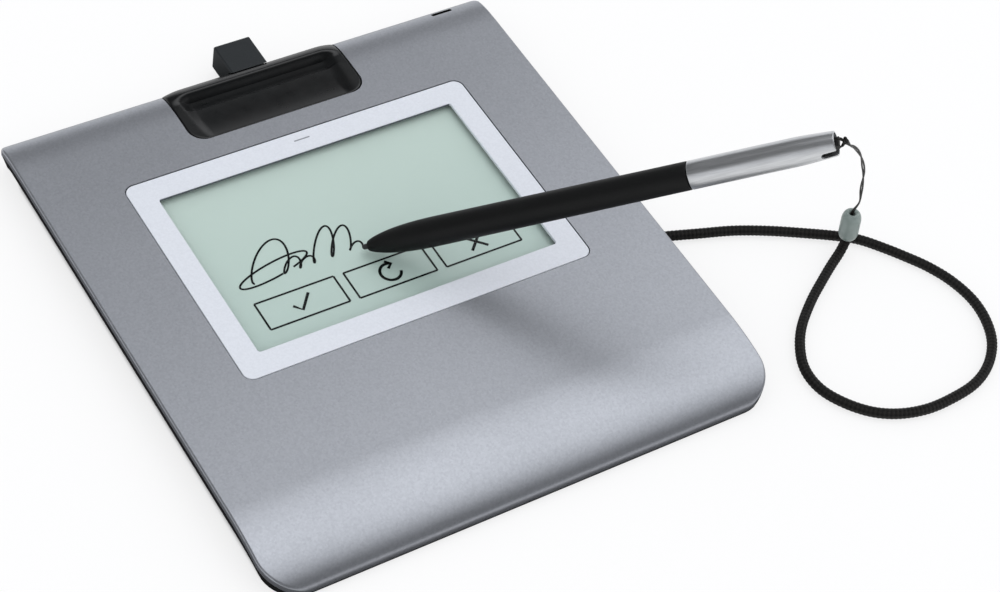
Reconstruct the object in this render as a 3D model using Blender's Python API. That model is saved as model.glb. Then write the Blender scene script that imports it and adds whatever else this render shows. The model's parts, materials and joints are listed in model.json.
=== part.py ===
"""Signature pad with a tethered pen, modelled as the separate pieces it is assembled from.

Lengths are in metres. The origin is the centre of the pad's flat underside, +X points to the
pad's right, +Y to its rear edge and +Z up. The rubber feet stand a little below the underside,
and the tether lies on the same surface as the feet.
"""
import math

import bmesh
import bpy
from mathutils import Matrix, Vector

# Clearances shared by all pieces
FIT_GAP = 0.0003
CUT_OVERRUN = 0.002
WELD_DEPTH = 0.0006

# Pad, outer form
PAD_WIDTH = 0.1614
PAD_DEPTH = 0.1710
TOP_HEIGHT = 0.0095
REAR_CORNER_RADIUS = 0.0030
FRONT_CORNER_RADIUS = 0.0110
REAR_ROLL_RADIUS = 0.0050
FRONT_CURVE_RUN = 0.0275
FRONT_CURVE_DROP = 0.0081
EDGE_RADIUS = 0.0010
COVER_WALL = 0.0018
SKIRT_DROP = 0.0023
LIP_CLEARANCE = 0.0006
CASE_FLOOR = 0.0016
CASE_WALL = 0.0018
CASE_TAPER_RUN = 0.0021

# Display stack
DISPLAY_CENTRE_Y = 0.01575
WINDOW_WIDTH = 0.0972
WINDOW_DEPTH = 0.0616
WINDOW_RADIUS = 0.0008
BEZEL_SIDE_BAND = 0.00755
BEZEL_END_BAND = 0.0079
BEZEL_RADIUS = 0.0030
BEZEL_LIP = 0.0009
BEZEL_CHAMFER = 0.00025
BEZEL_FLANGE = 0.0015
BEZEL_FLANGE_THICKNESS = 0.0008
GLASS_MARGIN = 0.0034
GLASS_THICKNESS = 0.0011
GLASS_RADIUS = 0.0012
PANEL_MARGIN = 0.0014
PANEL_THICKNESS = 0.0022
FRAME_WALL = 0.0015
FRAME_FLOOR = 0.0006
SENSOR_SIDE_MARGIN = 0.0022
SENSOR_END_MARGIN = 0.0040
SENSOR_THICKNESS = 0.0008
SHIELD_THICKNESS = 0.0004
SHEET_RADIUS = 0.0010

# Pen tray in the rear edge
TRAY_WIDTH = 0.0576
TRAY_DEPTH = 0.0229
TRAY_RADIUS = 0.0050
TRAY_PROUD = 0.0007
TRAY_RIM = 0.0008
TRAY_FLOOR_DEPTH = 0.0043
TRAY_REAR_WALL = 0.0018
GROOVE_DEPTH = 0.0033
GROOVE_CREASE_DEPTH = 0.0016
GROOVE_CREASE_BACK = 0.0108
GROOVE_FLOOR_START = 0.0061
GROOVE_FLOOR_END = 0.0055
GROOVE_LIP_BACK = 0.0040
GROOVE_END_MARGIN = 0.0022
GROOVE_END_ROUND = 0.0060

# Port housing behind the tray
PORT_WIDTH = 0.0122
PORT_HEIGHT = 0.0085
PORT_REACH = 0.0105
PORT_BEVEL = 0.0005
PORT_CAVITY_WIDTH = 0.0088
PORT_CAVITY_BASE = 0.0031
PORT_CAVITY_HEIGHT = 0.0043
PORT_NECK_WALL = 0.0008
PORT_NECK_LENGTH = 0.0035
SHELL_WIDTH = 0.0082
SHELL_HEIGHT = 0.0024
SHELL_LENGTH = 0.0062
SHELL_WALL = 0.00035
SHELL_RADIUS = 0.0007
TONGUE_WIDTH = 0.0052
TONGUE_THICKNESS = 0.0005
TONGUE_INSET = 0.0012

# Boards and their parts
BOARD_WIDTH = 0.0760
BOARD_FRONT_GAP = 0.0037
BOARD_REAR_GAP = 0.0050
BOARD_BASE = 0.0034
BOARD_THICKNESS = 0.0010
BOARD_TAB_WIDTH = 0.0080
CHIP_SIZE = 0.0100
CHIP_HEIGHT = 0.0010
CHIP_X = -0.0120
RIBBON_THICKNESS = 0.0003
RIBBON_LANDING = 0.0030
SENSOR_RIBBON_WIDTH = 0.0140
SENSOR_RIBBON_X = -0.0200
PANEL_RIBBON_WIDTH = 0.0200
PANEL_RIBBON_X = 0.0200

# Case screws, board screws, standoffs
CASE_SCREW_X = 0.0700
CASE_SCREW_REAR_Y = 0.0600
CASE_SCREW_MIDDLE_Y = 0.0100
CASE_SCREW_FRONT_Y = -0.0500
SCREW_HEAD_RADIUS = 0.0023
SCREW_HEAD_HEIGHT = 0.0014
SCREW_SHANK_RADIUS = 0.0013
SCREW_LENGTH = 0.0058
SCREW_SLOT_RADIUS = 0.0011
SCREW_SLOT_DEPTH = 0.0007
CASE_BOSS_RADIUS = 0.0040
CASE_BOSS_TOP = 0.0034
COVER_BOSS_RADIUS = 0.0030
BOARD_SCREW_X = 0.0340
BOARD_SCREW_HEAD_RADIUS = 0.0017
BOARD_SCREW_HEAD_HEIGHT = 0.0009
BOARD_SCREW_SHANK_RADIUS = 0.0009
STANDOFF_RADIUS = 0.0022

# Rubber feet
FOOT_RADIUS = 0.0050
FOOT_PROUD = 0.0008
FOOT_RECESS = 0.0006
FOOT_CHAMFER = 0.0003
FOOT_X = 0.0620
FOOT_REAR_Y = 0.0740
FOOT_FRONT_Y = -0.0680

# Lock slot in the rear right edge
LOCK_X = 0.0669
LOCK_WIDTH = 0.0071
LOCK_HEIGHT = 0.0030
LOCK_RADIUS = 0.0008
LOCK_BASE = 0.0050
LOCK_PLATE_WIDTH = 0.0125
LOCK_PLATE_THICKNESS = 0.0010
LOCK_PLATE_TOP = 0.0066
LOCK_PLATE_BACK = 0.0034

# Tether anchor under the right edge
ANCHOR_Y = -0.0192
ANCHOR_LENGTH = 0.0070
ANCHOR_WIDTH = 0.0066
ANCHOR_HEIGHT = 0.0034
ANCHOR_BACK = 0.0183
ANCHOR_BLOCK_WALL = 0.0014
ANCHOR_ROOF = 0.0013
ANCHOR_SCREW_HEAD_RADIUS = 0.0017
ANCHOR_SCREW_HEAD_HEIGHT = 0.0010
ANCHOR_SCREW_SHANK_RADIUS = 0.0009

# Tether: braided cord, sleeve and string
CORD_RADIUS = 0.0016
CORD_GROOVE_GAP = 0.00035
STRING_RADIUS = 0.00055
SLEEVE_RADIUS = 0.0030
SLEEVE_LENGTH = 0.0102
SLEEVE_GRIP_DEPTH = 0.0066
SLEEVE_ROUND = 0.0008
LOOP_WIRE_RADIUS = 0.00045
LOOP_RADIUS = 0.0015

# Pen
PEN_TIP_X = -0.00379
PEN_TIP_Y = 0.00704
PEN_SLOPE = 29.31
PEN_HEADING = -34.95
PEN_ROLL = -96.4
NIB_RADIUS = 0.0008
NIB_LENGTH = 0.0280
NIB_TRAVEL = 0.0004
NIB_MOUTH_REACH = 0.0020
NIB_MOUTH_RADIUS = 0.00135
NOSE_END_REACH = 0.0242
NOSE_RADIUS = 0.00431
NOSE_SWELL_POWER = 2.5
NOSE_EASE_POWER = 0.75
NOSE_SPACING_POWER = 1.6
GRIP_END_REACH = 0.0981
GRIP_WALL = 0.0013
GRIP_BORE_START = 0.0150
NOSE_BORE_REACH = 0.0085
BARREL_LENGTH = 0.0412
BARREL_RADIUS = 0.00405
BARREL_END_RADIUS = 0.00342
BARREL_END_ROUND = 0.0034
BARREL_BORE_RADIUS = 0.0030
SPIGOT_LENGTH = 0.0070
SPIGOT_WALL = 0.0008
TAIL_SLOT_LENGTH = 0.0044
TAIL_SLOT_WIDTH = 0.0015
CORE_WALL = 0.0007
COIL_WALL = 0.0006
CORE_START = 0.0163
CORE_LENGTH = 0.0110
CELL_RADIUS = 0.0024
CELL_LENGTH = 0.0055
PEN_BOARD_WIDTH = 0.0040
PEN_BOARD_THICKNESS = 0.0010
PEN_BOARD_LENGTH = 0.0400
TAIL_PLUG_LENGTH = 0.0060
TAIL_PLUG_BACK = 0.0032
EYE_THICKNESS = 0.0012
EYE_WIDTH = 0.0040
EYE_HOLE_RADIUS = 0.0010
EYE_WALL = 0.0009
EYE_PROUD = 0.00085

# Facets
CORNER_STEPS = 6
ROUND_STEPS = 20
FINE_STEPS = 26
NOSE_STEPS = 9

# Working values that follow from the sizes above
HALF_WIDTH = PAD_WIDTH / 2
HALF_DEPTH = PAD_DEPTH / 2
ROLL_CENTRE_Y = HALF_DEPTH - REAR_ROLL_RADIUS
CURVE_START_Y = FRONT_CURVE_RUN - HALF_DEPTH
LIP_HEIGHT = TOP_HEIGHT - FRONT_CURVE_DROP
COVER_UNDERSIDE = TOP_HEIGHT - COVER_WALL
BEZEL_HALF_WIDTH = WINDOW_WIDTH / 2 + BEZEL_SIDE_BAND
BEZEL_HALF_DEPTH = WINDOW_DEPTH / 2 + BEZEL_END_BAND
GLASS_TOP = TOP_HEIGHT - BEZEL_LIP - FIT_GAP
GLASS_BASE = GLASS_TOP - GLASS_THICKNESS
PANEL_TOP = GLASS_BASE - FIT_GAP
PANEL_BASE = PANEL_TOP - PANEL_THICKNESS
FRAME_BASE = PANEL_BASE - FIT_GAP - FRAME_FLOOR
SENSOR_BASE = FRAME_BASE - FIT_GAP - SENSOR_THICKNESS
SHIELD_BASE = SENSOR_BASE - FIT_GAP - SHIELD_THICKNESS
FRAME_HALF_WIDTH = WINDOW_WIDTH / 2 + PANEL_MARGIN + FIT_GAP + FRAME_WALL
FRAME_HALF_DEPTH = WINDOW_DEPTH / 2 + PANEL_MARGIN + FIT_GAP + FRAME_WALL
SENSOR_HALF_WIDTH = FRAME_HALF_WIDTH + SENSOR_SIDE_MARGIN
SENSOR_HALF_DEPTH = FRAME_HALF_DEPTH + SENSOR_END_MARGIN
BOARD_FRONT_Y = DISPLAY_CENTRE_Y + SENSOR_HALF_DEPTH + BOARD_FRONT_GAP
BOARD_REAR_Y = HALF_DEPTH - BOARD_REAR_GAP
BOARD_SCREW_Y = (BOARD_FRONT_Y + BOARD_REAR_Y) / 2
PEN_LENGTH = GRIP_END_REACH + FIT_GAP + BARREL_LENGTH
TRAY_FRONT_Y = HALF_DEPTH - TRAY_DEPTH
TRAY_REAR_Y = HALF_DEPTH + TRAY_PROUD
TRAY_BASE = TOP_HEIGHT - TRAY_FLOOR_DEPTH
REAR_RIM_HEIGHT = TOP_HEIGHT - REAR_ROLL_RADIUS - SKIRT_DROP
DESK_HEIGHT = -FOOT_PROUD
SCREW_PLACES = [
    ("rear_left", -CASE_SCREW_X, CASE_SCREW_REAR_Y),
    ("rear_right", CASE_SCREW_X, CASE_SCREW_REAR_Y),
    ("middle_left", -CASE_SCREW_X, CASE_SCREW_MIDDLE_Y),
    ("middle_right", CASE_SCREW_X, CASE_SCREW_MIDDLE_Y),
    ("front_left", -CASE_SCREW_X, CASE_SCREW_FRONT_Y),
    ("front_right", CASE_SCREW_X, CASE_SCREW_FRONT_Y),
]
FOOT_PLACES = [
    ("rear_left", -FOOT_X, FOOT_REAR_Y),
    ("rear_right", FOOT_X, FOOT_REAR_Y),
    ("front_left", -FOOT_X, FOOT_FRONT_Y),
    ("front_right", FOOT_X, FOOT_FRONT_Y),
]
BOARD_SCREW_PLACES = [
    ("left", -BOARD_SCREW_X, BOARD_SCREW_Y),
    ("right", BOARD_SCREW_X, BOARD_SCREW_Y),
]

# Route of the braided cord on the desk, as chosen points in metres
CORD_ROUTE = [
    (0.0702, -0.0192, 0.0019),
    (0.0760, -0.0192, 0.0016),
    (0.0815, -0.0196, 0.0008),
    (0.0860, -0.0206, 0.0008),
    (0.0953, -0.0236, 0.0008),
    (0.1057, -0.0270, 0.0008),
    (0.1154, -0.0314, 0.0008),
    (0.1247, -0.0365, 0.0008),
    (0.1338, -0.0419, 0.0008),
    (0.1395, -0.0461, 0.0008),
    (0.1442, -0.0516, 0.0008),
    (0.1485, -0.0575, 0.0008),
    (0.1526, -0.0639, 0.0008),
    (0.1557, -0.0713, 0.0008),
    (0.1571, -0.0798, 0.0008),
    (0.1559, -0.0880, 0.0008),
    (0.1521, -0.0959, 0.0008),
    (0.1454, -0.1023, 0.0008),
    (0.1373, -0.1061, 0.0008),
    (0.1275, -0.1075, 0.0008),
    (0.1184, -0.1074, 0.0008),
    (0.1099, -0.1052, 0.0008),
    (0.1030, -0.1011, 0.0008),
    (0.0976, -0.0949, 0.0008),
    (0.0944, -0.0880, 0.0008),
    (0.0944, -0.0806, 0.0008),
    (0.0975, -0.0736, 0.0008),
    (0.1030, -0.0667, 0.0008),
    (0.1113, -0.0599, 0.0008),
    (0.1195, -0.0545, 0.0008),
    (0.1255, -0.0508, 0.0008),
    (0.1294, -0.0486, 0.0009),
    (0.1314, -0.04745, 0.0014),
    (0.1327, -0.0467, 0.0026),
    (0.13335, -0.0463, 0.0042),
]
SLEEVE_MOUTH = (0.13354, -0.04617, 0.0052)
SLEEVE_TIP = (0.13300, -0.04549, 0.01535)

# Route of the string from the sleeve's top to the loop at the pen's tail
STRING_ROUTE = [
    (0.1323, -0.0471, 0.0218),
    (0.1296, -0.0486, 0.0291),
    (0.1267, -0.0503, 0.0361),
    (0.1250, -0.0513, 0.0401),
    (0.1230, -0.0524, 0.0444),
    (0.1194, -0.0542, 0.0508),
    (0.1164, -0.0556, 0.0557),
    (0.1129, -0.0573, 0.0608),
    (0.1094, -0.0589, 0.0654),
    (0.1056, -0.0607, 0.0699),
    (0.1015, -0.0626, 0.0741),
]
CORD_POINTS = 78
STRING_POINTS = 40


def clear_scene():
    """Removes every object that the file holds."""
    for old in list(bpy.data.objects):
        bpy.data.objects.remove(old, do_unlink=True)


def material(name, colour, roughness, metallic=0.0):
    """Returns a Principled material of one colour."""
    made = bpy.data.materials.new(name)
    made.use_nodes = True
    shader = made.node_tree.nodes["Principled BSDF"]
    shader.inputs["Base Color"].default_value = (*colour, 1.0)
    shader.inputs["Roughness"].default_value = roughness
    shader.inputs["Metallic"].default_value = metallic
    return made


def add_object(name, bm, look=None, parent=None, sharp_angle=35.0):
    """Turns a bmesh into a named object with faces pointing out."""
    bmesh.ops.recalc_face_normals(bm, faces=bm.faces)
    mesh = bpy.data.meshes.new(name)
    bm.to_mesh(mesh)
    bm.free()
    mesh.shade_smooth()
    mesh.set_sharp_from_angle(angle=math.radians(sharp_angle))
    made = bpy.data.objects.new(name, mesh)
    bpy.context.scene.collection.objects.link(made)
    if look is not None:
        mesh.materials.append(look)
    if parent is not None:
        made.parent = parent
    return made


def as_guide(made):
    """Marks an object as a shape for a Boolean, which isn't a piece of the pad."""
    made.hide_render = True
    made.display_type = "WIRE"
    return made


def combine(target, other, operation):
    """Adds an exact Boolean of a tool shape to a piece."""
    step = target.modifiers.new(operation.lower(), "BOOLEAN")
    step.operation = operation
    step.solver = "EXACT"
    step.object = as_guide(other)


def rounded_rectangle(half_x, half_y, radius, centre=(0.0, 0.0), steps=CORNER_STEPS):
    """Returns the corner points and arcs of a rounded rectangle, anticlockwise."""
    points = []
    corners = [(1, 1, 0), (-1, 1, 1), (-1, -1, 2), (1, -1, 3)]
    for side_x, side_y, quarter in corners:
        for step in range(steps + 1):
            angle = math.radians(90) * (quarter + step / steps)
            points.append((
                centre[0] + side_x * (half_x - radius) + radius * math.cos(angle),
                centre[1] + side_y * (half_y - radius) + radius * math.sin(angle),
            ))
    return points


def loop_skin(bm, loops, closed=False):
    """Joins loops of equal length by quads, and caps the ends unless the skin is closed."""
    rings = [[bm.verts.new(point) for point in loop] for loop in loops]
    pairs = list(zip(rings, rings[1:]))
    if closed:
        pairs.append((rings[-1], rings[0]))
    count = len(rings[0])
    for low, high in pairs:
        for place in range(count):
            after = (place + 1) % count
            bm.faces.new((low[place], low[after], high[after], high[place]))
    if not closed:
        bm.faces.new(list(reversed(rings[0])))
        bm.faces.new(rings[-1])


def flat_loop(outline, height):
    """Lifts an outline in X and Y to a height."""
    return [(x, y, height) for x, y in outline]


def prism(bm, outline, low, high):
    """Adds an upright prism over an outline in X and Y."""
    loop_skin(bm, [flat_loop(outline, low), flat_loop(outline, high)])


def side_prism(bm, profile, low_x, high_x):
    """Adds a prism along X over a profile in Y and Z."""
    loop_skin(bm, [[(x, y, z) for y, z in profile] for x in (low_x, high_x)])


def block(bm, low, high):
    """Adds a box between its lowest and highest corners."""
    outline = [(low[0], low[1]), (high[0], low[1]), (high[0], high[1]), (low[0], high[1])]
    prism(bm, outline, low[2], high[2])


def lathe(bm, profile, centre=(0.0, 0.0), steps=ROUND_STEPS, closed=False):
    """Turns a profile of radius and height pairs about an upright axis.

    A closed profile gives a ring; an open one is capped at its two ends.
    """
    loops = []
    for radius, height in profile:
        loops.append([
            (
                centre[0] + radius * math.cos(math.tau * step / steps),
                centre[1] + radius * math.sin(math.tau * step / steps),
                height,
            )
            for step in range(steps)
        ])
    loop_skin(bm, loops, closed)


def cylinder(bm, radius, low, high, centre=(0.0, 0.0), steps=ROUND_STEPS):
    """Adds an upright cylinder."""
    lathe(bm, [(radius, low), (radius, high)], centre, steps)


def surface_height(y, inset):
    """Height of the cover's long profile at a place along the pad, less a wall.

    The middle is flat, the rear edge is a quarter circle and the front is a quarter ellipse.
    """
    if y > ROLL_CENTRE_Y:
        radius = REAR_ROLL_RADIUS - inset
        reach = min(y - ROLL_CENTRE_Y, radius)
        return TOP_HEIGHT - REAR_ROLL_RADIUS + math.sqrt(radius * radius - reach * reach)
    if y < CURVE_START_Y:
        run = FRONT_CURVE_RUN - inset
        drop = FRONT_CURVE_DROP - inset
        reach_share = min((CURVE_START_Y - y) / run, 1.0)
        return LIP_HEIGHT + drop * math.sqrt(1.0 - reach_share * reach_share)
    return TOP_HEIGHT - inset


def side_stations():
    """Places along the straight sides where the long profile bends."""
    places = []
    steps = 4
    for step in range(steps, -1, -1):
        reach = REAR_ROLL_RADIUS * math.sin(math.radians(90) * step / steps / 2)
        place = ROLL_CENTRE_Y + reach
        if place < HALF_DEPTH - REAR_CORNER_RADIUS - FIT_GAP:
            places.append(place)
    steps = 9
    for step in range(steps + 1):
        place = CURVE_START_Y - FRONT_CURVE_RUN * math.sin(math.radians(90) * step / steps / 2)
        if place > -HALF_DEPTH + FRONT_CORNER_RADIUS + FIT_GAP:
            places.append(place)
    return places


def pad_stations(inset):
    """Right half of the pad's plan outline, rear to front, with how far each faces sideways."""
    stations = []
    for step in range(CORNER_STEPS + 1):
        angle = math.radians(90) * (1 - step / CORNER_STEPS)
        radius = REAR_CORNER_RADIUS - inset
        stations.append((
            HALF_WIDTH - REAR_CORNER_RADIUS + radius * math.cos(angle),
            HALF_DEPTH - REAR_CORNER_RADIUS + radius * math.sin(angle),
            math.cos(angle),
        ))
    for place in side_stations():
        stations.append((HALF_WIDTH - inset, place, 1.0))
    steps = CORNER_STEPS + 4
    for step in range(steps + 1):
        angle = math.radians(90) * step / steps
        radius = FRONT_CORNER_RADIUS - inset
        stations.append((
            HALF_WIDTH - FRONT_CORNER_RADIUS + radius * math.cos(angle),
            -HALF_DEPTH + FRONT_CORNER_RADIUS - radius * math.sin(angle),
            math.cos(angle),
        ))
    return stations


def seam_heights():
    """Height of the cover's lower edge at each station of the outline."""
    return [
        max(surface_height(y, 0.0) - SKIRT_DROP, LIP_CLEARANCE)
        for _, y, _ in pad_stations(0.0)
    ]


def half_shell(bm, rings):
    """Skins rings of right-hand points and their mirror images, and closes both ends across."""
    right = [[bm.verts.new(point) for point in ring] for ring in rings]
    left = [[bm.verts.new((-x, y, z)) for x, y, z in ring] for ring in rings]
    count = len(rings[0])
    for near, far in zip(range(len(rings) - 1), range(1, len(rings))):
        for place in range(count - 1):
            after = place + 1
            bm.faces.new((
                right[near][place], right[near][after], right[far][after], right[far][place]))
            bm.faces.new((
                left[near][place], left[far][place], left[far][after], left[near][after]))
        for end in (0, count - 1):
            bm.faces.new((right[near][end], right[far][end], left[far][end], left[near][end]))
    for side in (0, len(rings) - 1):
        for place in range(count - 1):
            after = place + 1
            bm.faces.new((
                right[side][place], right[side][after], left[side][after], left[side][place]))


def build_top_cover(look):
    """The painted upper shell, with its apertures, lock slot and screw bosses."""
    outer = pad_stations(0.0)
    seams = seam_heights()
    inner = pad_stations(COVER_WALL)
    rings = [
        [(x, y, surface_height(y, COVER_WALL)) for x, y, _ in inner],
        [(x, y, seam) for (x, y, _), seam in zip(inner, seams)],
        [(x, y, seam) for (x, y, _), seam in zip(outer, seams)],
    ]
    steps = 3
    for step in range(steps + 1):
        angle = math.radians(90) * step / steps
        inset = EDGE_RADIUS * (1 - math.cos(angle))
        drop = EDGE_RADIUS * (1 - math.sin(angle))
        rings.append([
            (x, y, surface_height(y, 0.0) - drop * side)
            for x, y, side in pad_stations(inset)
        ])
    bm = bmesh.new()
    half_shell(bm, rings)
    cover = add_object("top_cover", bm, look)

    bm = bmesh.new()
    for _, x, y in SCREW_PLACES:
        bore = SCREW_SHANK_RADIUS + FIT_GAP
        base = CASE_BOSS_TOP + FIT_GAP
        top = COVER_UNDERSIDE + WELD_DEPTH
        lathe(bm, [(bore, base), (COVER_BOSS_RADIUS, base), (COVER_BOSS_RADIUS, top), (bore, top)],
              (x, y), ROUND_STEPS, closed=True)
    combine(cover, add_object("guide_cover_bosses", bm), "UNION")

    bm = bmesh.new()
    aperture = rounded_rectangle(
        BEZEL_HALF_WIDTH + FIT_GAP, BEZEL_HALF_DEPTH + FIT_GAP, BEZEL_RADIUS + FIT_GAP,
        (0.0, DISPLAY_CENTRE_Y))
    prism(bm, aperture, COVER_UNDERSIDE - CUT_OVERRUN, TOP_HEIGHT + CUT_OVERRUN)
    combine(cover, add_object("guide_bezel_aperture", bm), "DIFFERENCE")

    bm = bmesh.new()
    prism(bm, tray_outline(FIT_GAP), LIP_CLEARANCE, TOP_HEIGHT + CUT_OVERRUN)
    combine(cover, add_object("guide_tray_aperture", bm), "DIFFERENCE")

    combine(cover, lock_cutter("guide_lock_slot", 0.0), "DIFFERENCE")
    return cover


def lock_cutter(name, grow):
    """A bar with the lock slot's section, through the rear edge."""
    section = rounded_rectangle(
        LOCK_WIDTH / 2 + grow, LOCK_HEIGHT / 2 + grow, LOCK_RADIUS + grow,
        (LOCK_X, LOCK_BASE + LOCK_HEIGHT / 2), 3)
    front = HALF_DEPTH - REAR_ROLL_RADIUS - COVER_WALL
    bm = bmesh.new()
    loop_skin(bm, [[(x, y, z) for x, z in section] for y in (front, HALF_DEPTH + CUT_OVERRUN)])
    return add_object(name, bm)


def build_bottom_case(look):
    """The black base: tapered sides, bosses, foot recesses and the tether's pocket."""
    seams = seam_heights()
    floor_height = CASE_FLOOR
    rim_heights = [seam - FIT_GAP for seam in seams]
    full_rim = TOP_HEIGHT - SKIRT_DROP - FIT_GAP
    taper_share = CASE_TAPER_RUN / full_rim
    outer = pad_stations(0.0)
    front_set_back = COVER_WALL + FIT_GAP
    inner = pad_stations(front_set_back)
    floor_edge = pad_stations(front_set_back + CASE_WALL)
    bottom = []
    for (x, y, side), rim in zip(outer, rim_heights):
        inset = taper_share * rim
        ends = math.copysign(math.sqrt(max(0.0, 1.0 - side * side)), y)
        bottom.append((x - inset * side, y - inset * ends, 0.0))
    rings = [
        [(x, y, floor_height) for x, y, _ in floor_edge],
        [(x, y, rim) for (x, y, _), rim in zip(inner, rim_heights)],
        [(x, y, rim) for (x, y, _), rim in zip(outer, rim_heights)],
        bottom,
    ]
    bm = bmesh.new()
    half_shell(bm, rings)
    case = add_object("bottom_case", bm, look)

    bm = bmesh.new()
    for _, x, y in SCREW_PLACES:
        cylinder(bm, CASE_BOSS_RADIUS, floor_height - WELD_DEPTH, CASE_BOSS_TOP, (x, y))
    for _, x, y in BOARD_SCREW_PLACES:
        cylinder(bm, STANDOFF_RADIUS, floor_height - WELD_DEPTH, BOARD_BASE - FIT_GAP, (x, y))
    mouth_x = HALF_WIDTH - front_set_back - CASE_WALL / 2
    block(bm,
          (HALF_WIDTH - ANCHOR_BACK - ANCHOR_BLOCK_WALL, ANCHOR_Y - anchor_half_block(),
           floor_height - WELD_DEPTH),
          (mouth_x, ANCHOR_Y + anchor_half_block(), anchor_roof_base() + ANCHOR_ROOF))
    combine(case, add_object("guide_case_bosses", bm), "UNION")

    bm = bmesh.new()
    for _, x, y in SCREW_PLACES:
        shoulder = screw_seat() + FIT_GAP
        lathe(bm, [
            (SCREW_HEAD_RADIUS + FIT_GAP, -CUT_OVERRUN),
            (SCREW_HEAD_RADIUS + FIT_GAP, shoulder),
            (SCREW_SHANK_RADIUS + FIT_GAP, shoulder),
            (SCREW_SHANK_RADIUS + FIT_GAP, CASE_BOSS_TOP + CUT_OVERRUN),
        ], (x, y))
    for _, x, y in FOOT_PLACES:
        cylinder(bm, FOOT_RADIUS + FIT_GAP, -CUT_OVERRUN, FOOT_RECESS, (x, y))
    for _, x, y in BOARD_SCREW_PLACES:
        cylinder(bm, BOARD_SCREW_SHANK_RADIUS + FIT_GAP, floor_height, BOARD_BASE + CUT_OVERRUN, (x, y))
    block(bm,
          (HALF_WIDTH - ANCHOR_BACK, ANCHOR_Y - ANCHOR_WIDTH / 2 - FIT_GAP, -CUT_OVERRUN),
          (HALF_WIDTH - ANCHOR_BACK + ANCHOR_LENGTH + FIT_GAP + FIT_GAP,
           ANCHOR_Y + ANCHOR_WIDTH / 2 + FIT_GAP, anchor_roof_base()))
    combine(case, add_object("guide_case_cuts", bm), "DIFFERENCE")

    bm = bmesh.new()
    groove_half = CORD_RADIUS + CORD_GROOVE_GAP
    groove_section = [(ANCHOR_Y + y, z) for y, z in (
        (-groove_half, -CUT_OVERRUN), (groove_half, -CUT_OVERRUN),
        (groove_half, anchor_roof_base() - CORD_GROOVE_GAP),
        (groove_half - CORD_GROOVE_GAP, anchor_roof_base()),
        (CORD_GROOVE_GAP - groove_half, anchor_roof_base()),
        (-groove_half, anchor_roof_base() - CORD_GROOVE_GAP))]
    side_prism(bm, groove_section, HALF_WIDTH - ANCHOR_BACK + ANCHOR_LENGTH / 2,
               HALF_WIDTH + CUT_OVERRUN)
    combine(case, add_object("guide_tether_groove", bm), "DIFFERENCE")

    bm = bmesh.new()
    cylinder(bm, ANCHOR_SCREW_SHANK_RADIUS + FIT_GAP, FIT_GAP,
             anchor_roof_base() + ANCHOR_ROOF + CUT_OVERRUN, (anchor_centre_x(), ANCHOR_Y))
    combine(case, add_object("guide_anchor_screw_hole", bm), "DIFFERENCE")
    return case


def anchor_centre_x():
    """Middle of the tether anchor."""
    return HALF_WIDTH - ANCHOR_BACK + FIT_GAP + ANCHOR_LENGTH / 2


def anchor_roof_base():
    """Height of the roof over the anchor's pocket."""
    return FIT_GAP + ANCHOR_HEIGHT + FIT_GAP


def anchor_half_block():
    """Half the width of the block that holds the anchor's pocket."""
    return ANCHOR_WIDTH / 2 + FIT_GAP + ANCHOR_BLOCK_WALL


def screw_seat():
    """Height at which the case screws' heads bear."""
    return FIT_GAP + SCREW_HEAD_HEIGHT


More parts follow.
